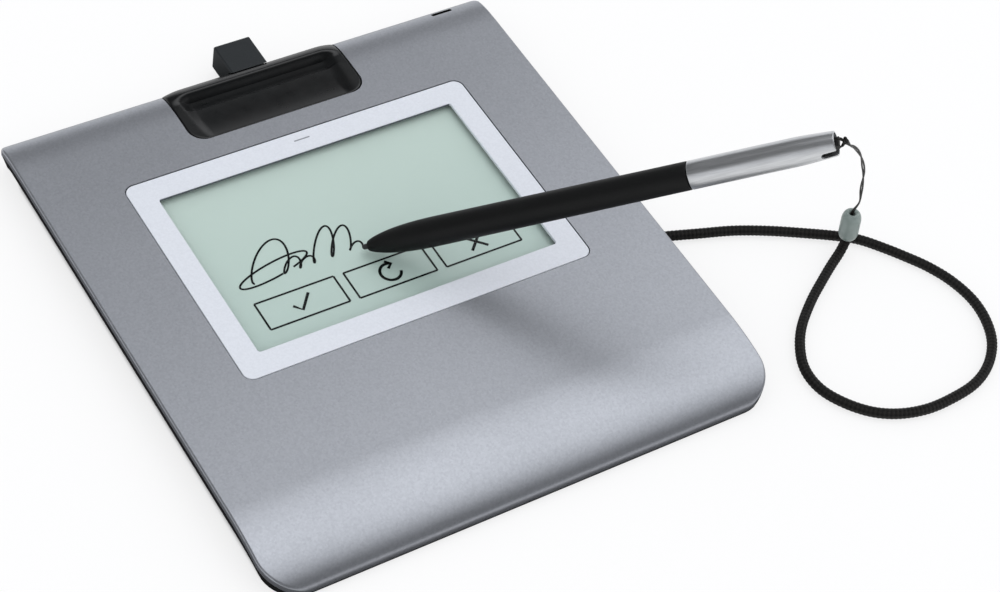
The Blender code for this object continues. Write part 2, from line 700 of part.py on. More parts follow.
def build_display(looks):
    """Bezel, glass, panel, its carrier, the sensor board and the shield, top to bottom."""
    centre = (0.0, DISPLAY_CENTRE_Y)
    half_x = BEZEL_HALF_WIDTH
    half_y = BEZEL_HALF_DEPTH
    window_x = WINDOW_WIDTH / 2
    window_y = WINDOW_DEPTH / 2
    glass_x = window_x + GLASS_MARGIN
    glass_y = window_y + GLASS_MARGIN
    pocket_x = glass_x + FIT_GAP
    pocket_y = glass_y + FIT_GAP
    flange_top = COVER_UNDERSIDE - FIT_GAP
    flange_base = flange_top - BEZEL_FLANGE_THICKNESS

    def loop(grow_x, grow_y, radius, height):
        return flat_loop(rounded_rectangle(grow_x, grow_y, radius, centre), height)

    bm = bmesh.new()
    loop_skin(bm, [
        loop(half_x + BEZEL_FLANGE, half_y + BEZEL_FLANGE, BEZEL_RADIUS + BEZEL_FLANGE, flange_base),
        loop(half_x + BEZEL_FLANGE, half_y + BEZEL_FLANGE, BEZEL_RADIUS + BEZEL_FLANGE, flange_top),
        loop(half_x, half_y, BEZEL_RADIUS, flange_top),
        loop(half_x, half_y, BEZEL_RADIUS, TOP_HEIGHT - BEZEL_CHAMFER),
        loop(half_x - BEZEL_CHAMFER, half_y - BEZEL_CHAMFER, BEZEL_RADIUS - BEZEL_CHAMFER, TOP_HEIGHT),
        loop(window_x + BEZEL_CHAMFER, window_y + BEZEL_CHAMFER, WINDOW_RADIUS + BEZEL_CHAMFER,
             TOP_HEIGHT),
        loop(window_x, window_y, WINDOW_RADIUS, TOP_HEIGHT - BEZEL_CHAMFER),
        loop(window_x, window_y, WINDOW_RADIUS, TOP_HEIGHT - BEZEL_LIP),
        loop(pocket_x, pocket_y, GLASS_RADIUS + FIT_GAP, TOP_HEIGHT - BEZEL_LIP),
        loop(pocket_x, pocket_y, GLASS_RADIUS + FIT_GAP, flange_base),
    ], closed=True)
    add_object("display_bezel", bm, looks["bezel"])

    bm = bmesh.new()
    prism(bm, rounded_rectangle(glass_x, glass_y, GLASS_RADIUS, centre), GLASS_BASE, GLASS_TOP)
    add_object("writing_glass", bm, looks["glass"])

    panel_x = window_x + PANEL_MARGIN
    panel_y = window_y + PANEL_MARGIN
    bm = bmesh.new()
    prism(bm, rounded_rectangle(panel_x, panel_y, SHEET_RADIUS, centre), PANEL_BASE, PANEL_TOP)
    add_object("lcd_panel", bm, looks["panel"])

    tray_x = panel_x + FIT_GAP
    tray_y = panel_y + FIT_GAP
    bm = bmesh.new()
    loop_skin(bm, [
        loop(FRAME_HALF_WIDTH, FRAME_HALF_DEPTH, SHEET_RADIUS + FRAME_WALL, FRAME_BASE),
        loop(FRAME_HALF_WIDTH, FRAME_HALF_DEPTH, SHEET_RADIUS + FRAME_WALL, PANEL_TOP),
        loop(tray_x, tray_y, SHEET_RADIUS, PANEL_TOP),
        loop(tray_x, tray_y, SHEET_RADIUS, FRAME_BASE + FRAME_FLOOR),
    ])
    carrier = add_object("display_frame", bm, looks["inner_plastic"])
    bm = bmesh.new()
    half_notch = PANEL_RIBBON_WIDTH / 2 + FIT_GAP
    notch_base = FRAME_BASE + FRAME_FLOOR
    block(bm,
          (PANEL_RIBBON_X - half_notch, centre[1] + tray_y - FRAME_WALL, notch_base),
          (PANEL_RIBBON_X + half_notch, centre[1] + tray_y + FRAME_WALL + CUT_OVERRUN,
           PANEL_TOP + CUT_OVERRUN))
    combine(carrier, add_object("guide_ribbon_notch", bm), "DIFFERENCE")

    bm = bmesh.new()
    prism(bm, rounded_rectangle(SENSOR_HALF_WIDTH, SENSOR_HALF_DEPTH, SHEET_RADIUS, centre),
          SENSOR_BASE, SENSOR_BASE + SENSOR_THICKNESS)
    add_object("sensor_board", bm, looks["board"])

    bm = bmesh.new()
    prism(bm, rounded_rectangle(SENSOR_HALF_WIDTH, SENSOR_HALF_DEPTH, SHEET_RADIUS, centre),
          SHIELD_BASE, SHIELD_BASE + SHIELD_THICKNESS)
    add_object("shield_sheet", bm, looks["steel"])


def tray_outline(grow):
    """Plan of the pen tray: rounded front corners, running out past the rear edge."""
    half = TRAY_WIDTH / 2 + grow
    front = TRAY_FRONT_Y - grow
    rear = TRAY_REAR_Y + CUT_OVERRUN
    radius = TRAY_RADIUS + grow
    points = [(half, rear), (-half, rear)]
    for side, start in ((-1, 180), (1, 270)):
        for step in range(CORNER_STEPS + 1):
            angle = math.radians(start + 90 * step / CORNER_STEPS)
            points.append((
                side * (half - radius) + radius * math.cos(angle),
                front + radius + radius * math.sin(angle),
            ))
    return points


def tray_profile(grow):
    """Side profile of the tray's body, as Y and Z, with the proud rear lip."""
    lip_radius = REAR_ROLL_RADIUS + TRAY_PROUD + grow
    lip_centre_z = TOP_HEIGHT - REAR_ROLL_RADIUS
    base = REAR_RIM_HEIGHT
    inner_y = TRAY_REAR_Y - TRAY_REAR_WALL
    points = [(TRAY_FRONT_Y - grow, TRAY_BASE), (TRAY_FRONT_Y - grow, TOP_HEIGHT)]
    points.append((ROLL_CENTRE_Y - GROOVE_FLOOR_END / 2, TOP_HEIGHT))
    steps = 9
    for step in range(steps + 1):
        angle = math.radians(90) * (1 - step / steps)
        points.append((
            ROLL_CENTRE_Y + lip_radius * math.cos(angle),
            lip_centre_z + lip_radius * math.sin(angle),
        ))
    points += [(TRAY_REAR_Y + grow, base), (inner_y, base), (inner_y, TRAY_BASE)]
    return points


def groove_section(x, share):
    """Closed section of the groove's cutter at one place across, drawn in by a share."""
    front = TRAY_FRONT_Y + TRAY_RIM + (1 - share) * TRAY_RADIUS
    crease = TRAY_REAR_Y - GROOVE_CREASE_BACK
    floor_start = TRAY_REAR_Y - GROOVE_FLOOR_START - GROOVE_DEPTH / 3
    floor_end = TRAY_REAR_Y - GROOVE_FLOOR_END
    lip = TRAY_REAR_Y - GROOVE_LIP_BACK
    top = TOP_HEIGHT + CUT_OVERRUN
    return [
        (x, front, TOP_HEIGHT - TRAY_RIM * share / 4),
        (x, crease, TOP_HEIGHT - GROOVE_CREASE_DEPTH * share),
        (x, floor_start, TOP_HEIGHT - GROOVE_DEPTH * share),
        (x, floor_end, TOP_HEIGHT - GROOVE_DEPTH * share),
        (x, lip - TRAY_PROUD / 2, TOP_HEIGHT - TRAY_PROUD * share),
        (x, lip, TOP_HEIGHT + TRAY_PROUD),
        (x, lip + TRAY_PROUD, top),
        (x, front - TRAY_RIM, top),
    ]


def build_pen_tray(look):
    """The glossy insert with the pen groove and its raised rear lip."""
    bm = bmesh.new()
    prism(bm, tray_outline(0.0), LIP_CLEARANCE, TOP_HEIGHT + CUT_OVERRUN)
    tray = add_object("pen_tray", bm, look)

    bm = bmesh.new()
    half = TRAY_WIDTH / 2 + CUT_OVERRUN
    side_prism(bm, tray_profile(0.0), -half, half)
    combine(tray, add_object("guide_tray_profile", bm), "INTERSECT")

    half = TRAY_WIDTH / 2 - GROOVE_END_MARGIN
    straight = half - GROOVE_END_ROUND
    steps = 6
    sections = []
    for side in (-1, 1):
        ends = []
        for step in range(steps):
            angle = math.radians(90) * step / steps
            ends.append((side * (straight + GROOVE_END_ROUND * math.sin(angle)), math.cos(angle)))
        sections += reversed(ends) if side < 0 else ends
    bm = bmesh.new()
    loop_skin(bm, [groove_section(x, share) for x, share in sections])
    combine(tray, add_object("guide_pen_groove", bm), "DIFFERENCE")

    bm = bmesh.new()
    block(bm,
          (-neck_half_width() - FIT_GAP, neck_front_y() - FIT_GAP, LIP_CLEARANCE),
          (neck_half_width() + FIT_GAP, TRAY_REAR_Y + CUT_OVERRUN, neck_top() + FIT_GAP))
    combine(tray, add_object("guide_port_notch", bm), "DIFFERENCE")
    return tray


def neck_half_width():
    """Half the width of the port housing's neck."""
    return PORT_CAVITY_WIDTH / 2 + PORT_NECK_WALL


def neck_top():
    """Height of the top of the port housing's neck."""
    return PORT_CAVITY_BASE + PORT_CAVITY_HEIGHT + PORT_NECK_WALL


def neck_front_y():
    """Where the port housing's neck ends inside the pad."""
    return TRAY_REAR_Y - PORT_NECK_LENGTH


def build_port(looks):
    """The housing behind the tray with its receptacle shell and contact tongue."""
    rear = HALF_DEPTH + PORT_REACH
    base = TOP_HEIGHT - PORT_HEIGHT
    bm = bmesh.new()
    block(bm, (-PORT_WIDTH / 2, ROLL_CENTRE_Y, base), (PORT_WIDTH / 2, rear, TOP_HEIGHT))
    bmesh.ops.bevel(bm, geom=bm.edges[:], offset=PORT_BEVEL, segments=2, profile=0.5,
                    affect="EDGES")
    housing = add_object("port_housing", bm, looks["port_plastic"])

    bm = bmesh.new()
    half = PORT_WIDTH / 2 + CUT_OVERRUN
    cut = tray_profile(FIT_GAP)
    low = (TRAY_FRONT_Y, -CUT_OVERRUN)
    cut = [low] + cut[1:-3] + [(TRAY_REAR_Y + FIT_GAP, -CUT_OVERRUN)]
    side_prism(bm, cut, -half, half)
    combine(housing, add_object("guide_housing_front", bm), "DIFFERENCE")

    bm = bmesh.new()
    block(bm,
          (-neck_half_width(), neck_front_y(), PORT_CAVITY_BASE - PORT_NECK_WALL),
          (neck_half_width(), TRAY_REAR_Y + PORT_NECK_WALL, neck_top()))
    combine(housing, add_object("guide_housing_neck", bm), "UNION")

    bm = bmesh.new()
    block(bm,
          (-PORT_CAVITY_WIDTH / 2, neck_front_y() - CUT_OVERRUN, PORT_CAVITY_BASE),
          (PORT_CAVITY_WIDTH / 2, rear + CUT_OVERRUN, PORT_CAVITY_BASE + PORT_CAVITY_HEIGHT))
    combine(housing, add_object("guide_port_cavity", bm), "DIFFERENCE")

    shell_rear = rear - PORT_BEVEL
    shell_front = shell_rear - SHELL_LENGTH
    shell_base = BOARD_BASE + BOARD_THICKNESS + FIT_GAP
    middle = (0.0, shell_base + SHELL_HEIGHT / 2)

    def section(shrink, y):
        outline = rounded_rectangle(
            SHELL_WIDTH / 2 - shrink, SHELL_HEIGHT / 2 - shrink, SHELL_RADIUS - shrink, middle, 3)
        return [(x, y, z) for x, z in outline]

    bm = bmesh.new()
    loop_skin(bm, [
        section(0.0, shell_front),
        section(0.0, shell_rear),
        section(SHELL_WALL, shell_rear),
        section(SHELL_WALL, shell_front + SHELL_WALL),
    ])
    add_object("port_shell", bm, looks["steel"])

    bm = bmesh.new()
    block(bm,
          (-TONGUE_WIDTH / 2, shell_front + SHELL_WALL + FIT_GAP, middle[1] - TONGUE_THICKNESS / 2),
          (TONGUE_WIDTH / 2, shell_rear - TONGUE_INSET, middle[1] + TONGUE_THICKNESS / 2))
    add_object("port_tongue", bm, looks["inner_plastic"])


def build_electronics(looks):
    """Main board with its tab to the port, the controller, two ribbons and two screws."""
    front = BOARD_FRONT_Y
    rear = BOARD_REAR_Y
    half = BOARD_WIDTH / 2
    tab_half = BOARD_TAB_WIDTH / 2
    tab_rear = HALF_DEPTH + PORT_REACH - PORT_BEVEL - TONGUE_INSET
    outline = [
        (half, front), (half, rear), (tab_half, rear), (tab_half, tab_rear),
        (-tab_half, tab_rear), (-tab_half, rear), (-half, rear), (-half, front),
    ]
    bm = bmesh.new()
    prism(bm, outline, BOARD_BASE, BOARD_BASE + BOARD_THICKNESS)
    board = add_object("main_board", bm, looks["board"])
    bm = bmesh.new()
    for _, x, y in BOARD_SCREW_PLACES:
        cylinder(bm, BOARD_SCREW_SHANK_RADIUS + FIT_GAP, BOARD_BASE - CUT_OVERRUN,
                 BOARD_BASE + BOARD_THICKNESS + CUT_OVERRUN, (x, y))
    combine(board, add_object("guide_board_holes", bm), "DIFFERENCE")

    bm = bmesh.new()
    chip_top = BOARD_BASE - FIT_GAP
    block(bm,
          (CHIP_X - CHIP_SIZE / 2, front + CHIP_SIZE / 2, chip_top - CHIP_HEIGHT),
          (CHIP_X + CHIP_SIZE / 2, front + CHIP_SIZE / 2 + CHIP_SIZE, chip_top))
    add_object("controller_chip", bm, looks["chip"])

    board_level = BOARD_BASE + BOARD_THICKNESS + FIT_GAP
    sensor_rear = DISPLAY_CENTRE_Y + SENSOR_HALF_DEPTH
    add_ribbon("sensor_ribbon", SENSOR_RIBBON_X, SENSOR_RIBBON_WIDTH,
               sensor_rear - RIBBON_LANDING, SENSOR_BASE + SENSOR_THICKNESS + FIT_GAP,
               sensor_rear, front, board_level, looks["ribbon"])
    panel_rear = DISPLAY_CENTRE_Y + WINDOW_DEPTH / 2 + PANEL_MARGIN
    add_ribbon("display_ribbon", PANEL_RIBBON_X, PANEL_RIBBON_WIDTH,
               panel_rear + FIT_GAP, PANEL_BASE + FIT_GAP,
               panel_rear + RIBBON_LANDING, front, board_level, looks["ribbon"])

    for side, x, y in BOARD_SCREW_PLACES:
        bm = bmesh.new()
        seat = BOARD_BASE + BOARD_THICKNESS + FIT_GAP
        lathe(bm, [
            (BOARD_SCREW_SHANK_RADIUS, CASE_FLOOR + FIT_GAP),
            (BOARD_SCREW_SHANK_RADIUS, seat),
            (BOARD_SCREW_HEAD_RADIUS, seat),
            (BOARD_SCREW_HEAD_RADIUS, seat + BOARD_SCREW_HEAD_HEIGHT),
        ], (x, y), 16)
        add_object("board_screw_" + side, bm, looks["steel"])


def add_ribbon(name, x, width, start_y, start_z, bend_y, board_y, board_z, look):
    """A flat flexible cable with a level landing at each end and a soft step between."""
    middle = []
    steps = 6
    end_y = board_y + RIBBON_LANDING
    for step in range(steps + 1):
        share = step / steps
        rise_share = share * share * (3 - 2 * share)
        middle.append((bend_y + share * (board_y - bend_y), start_z + rise_share * (board_z - start_z)))
    lower = [(start_y, start_z)] + middle + [(end_y, board_z)]
    upper = [(y, z + RIBBON_THICKNESS) for y, z in reversed(lower)]
    bm = bmesh.new()
    side_prism(bm, lower + upper, x - width / 2, x + width / 2)
    add_object(name, bm, look)


def build_screws_and_feet(looks):
    """Six case screws in their counterbores, and four rubber feet in their recesses."""
    for place, x, y in SCREW_PLACES:
        bm = bmesh.new()
        seat = screw_seat()
        lathe(bm, [
            (SCREW_SLOT_RADIUS, FIT_GAP + SCREW_SLOT_DEPTH),
            (SCREW_SLOT_RADIUS, FIT_GAP),
            (SCREW_HEAD_RADIUS, FIT_GAP),
            (SCREW_HEAD_RADIUS, seat),
            (SCREW_SHANK_RADIUS, seat),
            (SCREW_SHANK_RADIUS, FIT_GAP + SCREW_LENGTH),
        ], (x, y), 18)
        add_object("case_screw_" + place, bm, looks["black_steel"])
    for place, x, y in FOOT_PLACES:
        bm = bmesh.new()
        lathe(bm, [
            (FOOT_RADIUS - FOOT_CHAMFER, DESK_HEIGHT),
            (FOOT_RADIUS, DESK_HEIGHT + FOOT_CHAMFER),
            (FOOT_RADIUS, FOOT_RECESS - FIT_GAP),
        ], (x, y), FINE_STEPS)
        add_object("foot_" + place, bm, looks["rubber"])


def build_lock_plate(look):
    """The steel plate that backs the lock slot inside the rear edge."""
    rear = HALF_DEPTH - LOCK_PLATE_BACK
    bm = bmesh.new()
    block(bm,
          (LOCK_X - LOCK_PLATE_WIDTH / 2, rear - LOCK_PLATE_THICKNESS, CASE_FLOOR + FIT_GAP),
          (LOCK_X + LOCK_PLATE_WIDTH / 2, rear, LOCK_PLATE_TOP))
    plate = add_object("lock_plate", bm, look)
    combine(plate, lock_cutter("guide_plate_slot", FIT_GAP), "DIFFERENCE")


def build_anchor(looks):
    """The block that holds the tether's end under the right edge, with its screw."""
    x = anchor_centre_x()
    head_base = FIT_GAP + FIT_GAP
    seat = head_base + ANCHOR_SCREW_HEAD_HEIGHT
    bm = bmesh.new()
    prism(bm, rounded_rectangle(ANCHOR_LENGTH / 2, ANCHOR_WIDTH / 2, GLASS_RADIUS, (x, ANCHOR_Y), 3),
          FIT_GAP, FIT_GAP + ANCHOR_HEIGHT)
    anchor = add_object("tether_anchor", bm, looks["inner_plastic"])
    bm = bmesh.new()
    lathe(bm, [
        (ANCHOR_SCREW_HEAD_RADIUS + FIT_GAP, -CUT_OVERRUN),
        (ANCHOR_SCREW_HEAD_RADIUS + FIT_GAP, seat + FIT_GAP),
        (ANCHOR_SCREW_SHANK_RADIUS + FIT_GAP, seat + FIT_GAP),
        (ANCHOR_SCREW_SHANK_RADIUS + FIT_GAP, ANCHOR_HEIGHT + CUT_OVERRUN),
    ], (x, ANCHOR_Y), 16)
    combine(anchor, add_object("guide_anchor_hole", bm), "DIFFERENCE")

    bm = bmesh.new()
    lathe(bm, [
        (ANCHOR_SCREW_HEAD_RADIUS, head_base),
        (ANCHOR_SCREW_HEAD_RADIUS, seat),
        (ANCHOR_SCREW_SHANK_RADIUS, seat),
        (ANCHOR_SCREW_SHANK_RADIUS, anchor_roof_base() + ANCHOR_ROOF),
    ], (x, ANCHOR_Y), 16)
    add_object("anchor_screw", bm, looks["black_steel"])


def smooth_route(points, count):
    """Reads evenly spaced points from a smooth curve through a route's own points."""
    nodes = [Vector(point) for point in points]
    padded = [2 * nodes[0] - nodes[1]] + nodes + [2 * nodes[-1] - nodes[-2]]
    fine = []
    per_span = 16
    for before, start, end, after in zip(padded, padded[1:], padded[2:], padded[3:]):
        for step in range(per_span):
            t = step / per_span
            fine.append(0.5 * (
                2 * start + (end - before) * t
                + (2 * before - 5 * start + 4 * end - after) * t ** 2
                + (3 * start - before - 3 * end + after) * t ** 3))
    fine.append(nodes[-1])
    lengths = [0.0]
    for low, high in zip(fine, fine[1:]):
        lengths.append(lengths[-1] + (high - low).length)
    total = lengths[-1]
    route = []
    place = 0
    for step in range(count):
        wanted = total * step / (count - 1)
        while place < len(lengths) - 2 and lengths[place + 1] < wanted:
            place += 1
        span = lengths[place + 1] - lengths[place]
        share = min(1.0, (wanted - lengths[place]) / span)
        route.append(fine[place].lerp(fine[place + 1], share))
    return route, total


def add_tube(name, points, radius, look):
    """A cord as a bevelled curve with filled caps."""
    curve = bpy.data.curves.new(name, "CURVE")
    curve.dimensions = "3D"
    curve.bevel_depth = radius
    curve.bevel_resolution = 2
    curve.use_fill_caps = True
    spline = curve.splines.new("POLY")
    spline.points.add(len(points) - 1)
    for place, point in enumerate(points):
        spline.points[place].co = (*point, 1.0)
    made = bpy.data.objects.new(name, curve)
    curve.materials.append(look)
    bpy.context.scene.collection.objects.link(made)
    return made


def axis_frame(origin, direction):
    """Rotation and place that carry +Z on to a direction from an origin."""
    turn = Vector(direction).normalized().to_track_quat("Z", "Y")
    return Matrix.Translation(Vector(origin)) @ turn.to_matrix().to_4x4()


def build_tether(looks):
    """The braided cord on the desk, the sleeve on its end and the thin string to the pen."""
    mouth = Vector(SLEEVE_MOUTH)
    direction = (Vector(SLEEVE_TIP) - mouth).normalized()
    grip_end = mouth + direction * (SLEEVE_GRIP_DEPTH - FIT_GAP)
    points = CORD_ROUTE + [tuple(mouth), tuple(grip_end)]
    route, total = smooth_route(points, CORD_POINTS)
    add_tube("tether_cord", route, CORD_RADIUS, looks["braid"])
    print("tether cord length, m:", round(total, 4))

    bore = CORD_RADIUS + FIT_GAP
    string_bore = STRING_RADIUS + FIT_GAP
    steps = 3
    profile = [(bore, SLEEVE_GRIP_DEPTH), (bore, 0.0)]
    for step in range(steps + 1):
        angle = math.radians(90) * step / steps
        profile.append((
            SLEEVE_RADIUS - SLEEVE_ROUND * (1 - math.sin(angle)),
            SLEEVE_ROUND * (1 - math.cos(angle))))
    for step in range(steps + 1):
        angle = math.radians(90) * step / steps
        profile.append((
            SLEEVE_RADIUS - SLEEVE_ROUND * (1 - math.cos(angle)),
            SLEEVE_LENGTH - SLEEVE_ROUND * (1 - math.sin(angle))))
    profile += [(string_bore, SLEEVE_LENGTH), (string_bore, SLEEVE_GRIP_DEPTH)]
    bm = bmesh.new()
    lathe(bm, profile, steps=ROUND_STEPS, closed=True)
    sleeve = add_object("tether_sleeve", bm, looks["sleeve"])
    sleeve.matrix_world = axis_frame(mouth, direction)

    start = mouth + direction * (SLEEVE_GRIP_DEPTH + FIT_GAP)
    exit_point = mouth + direction * (SLEEVE_LENGTH + STRING_RADIUS)
    tail = pen_point(loop_centre_reach() + LOOP_RADIUS + LOOP_WIRE_RADIUS + STRING_RADIUS)
    points = [tuple(start), tuple(exit_point)] + STRING_ROUTE + [tuple(tail)]
    route, total = smooth_route(points, STRING_POINTS)
    add_tube("tether_string", route, STRING_RADIUS, looks["string"])
    print("tether string length, m:", round(total, 4))


def pen_direction():
    """Unit vector from the nib to the pen's tail."""
    slope = math.radians(PEN_SLOPE)
    heading = math.radians(PEN_HEADING)
    return Vector((
        math.cos(slope) * math.cos(heading), math.cos(slope) * math.sin(heading), math.sin(slope)))


def pen_tip():
    """Where the nib's end is, just clear of the glass."""
    height = GLASS_TOP + FIT_GAP + NIB_RADIUS * (1 - math.sin(math.radians(PEN_SLOPE)))
    return Vector((PEN_TIP_X, PEN_TIP_Y, height))


def pen_point(reach):
    """A point on the pen's axis at a distance from its tip."""
    return pen_tip() + pen_direction() * reach


def eye_end_reach():
    """How far along the pen the eye's end is."""
    return PEN_LENGTH + EYE_PROUD


def loop_centre_reach():
    """Centre of the string loop along the pen, in the middle of the eye's end wall."""
    return eye_end_reach() - EYE_WALL / 2


def pen_frame():
    """Place and turn of the pen: +Z along it from its tip, rolled so the tail slot faces -Y."""
    axis = pen_direction()
    level = Vector((-axis.y, axis.x, 0.0)).normalized()
    upper = axis.cross(level)
    roll = math.radians(PEN_ROLL)
    side = level * math.cos(roll) + upper * math.sin(roll)
    turn = Matrix((side, axis.cross(side), axis)).transposed()
    return Matrix.Translation(pen_tip()) @ turn.to_4x4()


def build_nib(looks, carrier):
    """The sliding nib, round at its tip, running back to the pressure cell."""
    profile = []
    steps = 4
    for step in range(steps + 1):
        angle = math.radians(80) * (1 - step / steps)
        profile.append((NIB_RADIUS * math.cos(angle), NIB_RADIUS * (1 - math.sin(angle))))
    profile.append((NIB_RADIUS, NIB_LENGTH))
    bm = bmesh.new()
    lathe(bm, profile, steps=16)
    add_object("pen_nib", bm, looks["nib"], carrier)


def grip_radius(reach):
    """Outer radius of the grip: a bullet nose, then a slow taper to the barrel."""
    if reach < NOSE_END_REACH:
        share = (reach - NIB_MOUTH_REACH) / (NOSE_END_REACH - NIB_MOUTH_REACH)
        swell_share = (1 - (1 - share) ** NOSE_SWELL_POWER) ** NOSE_EASE_POWER
        return NIB_MOUTH_RADIUS + (NOSE_RADIUS - NIB_MOUTH_RADIUS) * swell_share
    share = (reach - NOSE_END_REACH) / (GRIP_END_REACH - NOSE_END_REACH)
    return NOSE_RADIUS + (BARREL_RADIUS - NOSE_RADIUS) * share


def build_shells(looks, carrier):
    """The black grip with its spigot and the silver barrel with its slotted end."""
    nib_bore = NIB_RADIUS + FIT_GAP
    spigot = BARREL_BORE_RADIUS - FIT_GAP
    inner = spigot - SPIGOT_WALL
    reaches = [
        NIB_MOUTH_REACH
        + (NOSE_END_REACH - NIB_MOUTH_REACH) * (step / NOSE_STEPS) ** NOSE_SPACING_POWER
        for step in range(NOSE_STEPS + 1)
    ]
    reaches += [(NOSE_END_REACH + GRIP_END_REACH) / 2, GRIP_END_REACH]
    profile = [(grip_radius(reach), reach) for reach in reaches]
    profile += [
        (spigot, GRIP_END_REACH),
        (spigot, GRIP_END_REACH + SPIGOT_LENGTH),
        (inner, GRIP_END_REACH + SPIGOT_LENGTH),
        (inner, GRIP_END_REACH - GRIP_WALL),
        (spigot, GRIP_END_REACH - GRIP_WALL - GRIP_WALL),
        (spigot, GRIP_BORE_START),
        (nib_bore, NOSE_BORE_REACH),
        (nib_bore, NIB_MOUTH_REACH),
    ]
    bm = bmesh.new()
    lathe(bm, profile, steps=FINE_STEPS, closed=True)
    add_object("pen_grip", bm, looks["grip"], carrier)

    profile = [(BARREL_RADIUS, GRIP_END_REACH + FIT_GAP)]
    steps = 4
    for step in range(steps + 1):
        angle = math.radians(90) * step / steps
        profile.append((
            BARREL_END_RADIUS + (BARREL_RADIUS - BARREL_END_RADIUS) * math.cos(angle),
            PEN_LENGTH - BARREL_END_ROUND * (1 - math.sin(angle))))
    profile += [
        (BARREL_BORE_RADIUS, PEN_LENGTH),
        (BARREL_BORE_RADIUS, GRIP_END_REACH + FIT_GAP),
    ]
    bm = bmesh.new()
    lathe(bm, profile, steps=FINE_STEPS, closed=True)
    barrel = add_object("pen_barrel", bm, looks["silver"], carrier)
    slot_end = PEN_LENGTH + CUT_OVERRUN
    half = (TAIL_SLOT_LENGTH + CUT_OVERRUN) / 2
    section = rounded_rectangle(
        TAIL_SLOT_WIDTH / 2, half, TAIL_SLOT_WIDTH / 3, (0.0, slot_end - half), 3)
    bm = bmesh.new()
    loop_skin(bm, [[(x, y, z) for x, z in section] for y in (-BARREL_RADIUS - CUT_OVERRUN, 0.0)])
    combine(barrel, add_object("guide_tail_slot", bm, parent=carrier), "DIFFERENCE")


def build_inner_pen(looks, carrier):
    """Ferrite core, coil, pressure cell and circuit strip inside the pen."""
    core_bore = NIB_RADIUS + FIT_GAP
    core_outer = core_bore + CORE_WALL
    core_end = CORE_START + CORE_LENGTH
    bm = bmesh.new()
    lathe(bm, [(core_bore, CORE_START), (core_outer, CORE_START),
               (core_outer, core_end), (core_bore, core_end)], closed=True)
    add_object("ferrite_core", bm, looks["ferrite"], carrier)

    coil_bore = core_outer + FIT_GAP / 3
    coil_outer = coil_bore + COIL_WALL
    margin = CORE_WALL
    bm = bmesh.new()
    lathe(bm, [(coil_bore, CORE_START + margin), (coil_outer, CORE_START + margin),
               (coil_outer, core_end - margin), (coil_bore, core_end - margin)], closed=True)
    add_object("pen_coil", bm, looks["copper"], carrier)

    cell_start = NIB_LENGTH + NIB_TRAVEL + FIT_GAP
    bm = bmesh.new()
    lathe(bm, [(CELL_RADIUS, cell_start), (CELL_RADIUS, cell_start + CELL_LENGTH)])
    add_object("pressure_cell", bm, looks["inner_plastic"], carrier)

    board_start = cell_start + CELL_LENGTH + FIT_GAP
    bm = bmesh.new()
    block(bm,
          (-PEN_BOARD_WIDTH / 2, -PEN_BOARD_THICKNESS / 2, board_start),
          (PEN_BOARD_WIDTH / 2, PEN_BOARD_THICKNESS / 2, board_start + PEN_BOARD_LENGTH))
    add_object("pen_circuit", bm, looks["board"], carrier)


def build_tail(looks, carrier):
    """The plug in the barrel's end with its eye, and the loop of string through it."""
    eye_end = eye_end_reach()
    eye_centre = eye_end - EYE_WALL - EYE_HOLE_RADIUS
    plug_end = PEN_LENGTH - TAIL_PLUG_BACK
    bm = bmesh.new()
    lathe(bm, [(BARREL_BORE_RADIUS - FIT_GAP, plug_end - TAIL_PLUG_LENGTH),
               (BARREL_BORE_RADIUS - FIT_GAP, plug_end)])
    plug = add_object("pen_tail", bm, looks["inner_plastic"], carrier)
    bm = bmesh.new()
    block(bm,
          (-EYE_THICKNESS / 2, -EYE_WIDTH / 2, plug_end - WELD_DEPTH),
          (EYE_THICKNESS / 2, EYE_WIDTH / 2, eye_end))
    combine(plug, add_object("guide_eye", bm, parent=carrier), "UNION")
    bm = bmesh.new()
    hole = [
        (EYE_HOLE_RADIUS * math.cos(math.tau * step / 16),
         eye_centre + EYE_HOLE_RADIUS * math.sin(math.tau * step / 16))
        for step in range(16)
    ]
    loop_skin(bm, [[(x, y, z) for y, z in hole] for x in (-EYE_THICKNESS, EYE_THICKNESS)])
    combine(plug, add_object("guide_eye_hole", bm, parent=carrier), "DIFFERENCE")

    centre = loop_centre_reach()
    turns = 20
    sides = 8
    loops = []
    for turn in range(turns):
        angle = math.tau * turn / turns
        loop = []
        for side in range(sides):
            around = math.tau * side / sides
            out = LOOP_RADIUS + LOOP_WIRE_RADIUS * math.cos(around)
            loop.append((
                out * math.cos(angle),
                LOOP_WIRE_RADIUS * math.sin(around),
                centre + out * math.sin(angle)))
        loops.append(loop)
    bm = bmesh.new()
    loop_skin(bm, loops, closed=True)
    add_object("string_loop", bm, looks["string"], carrier)


def build_pen(looks):
    """The pen's pieces, carried by an empty at its tip that points along the pen."""
    carrier = bpy.data.objects.new("pen_axis", None)
    bpy.context.scene.collection.objects.link(carrier)
    carrier.matrix_world = pen_frame()
    build_nib(looks, carrier)
    build_shells(looks, carrier)
    build_inner_pen(looks, carrier)
    build_tail(looks, carrier)


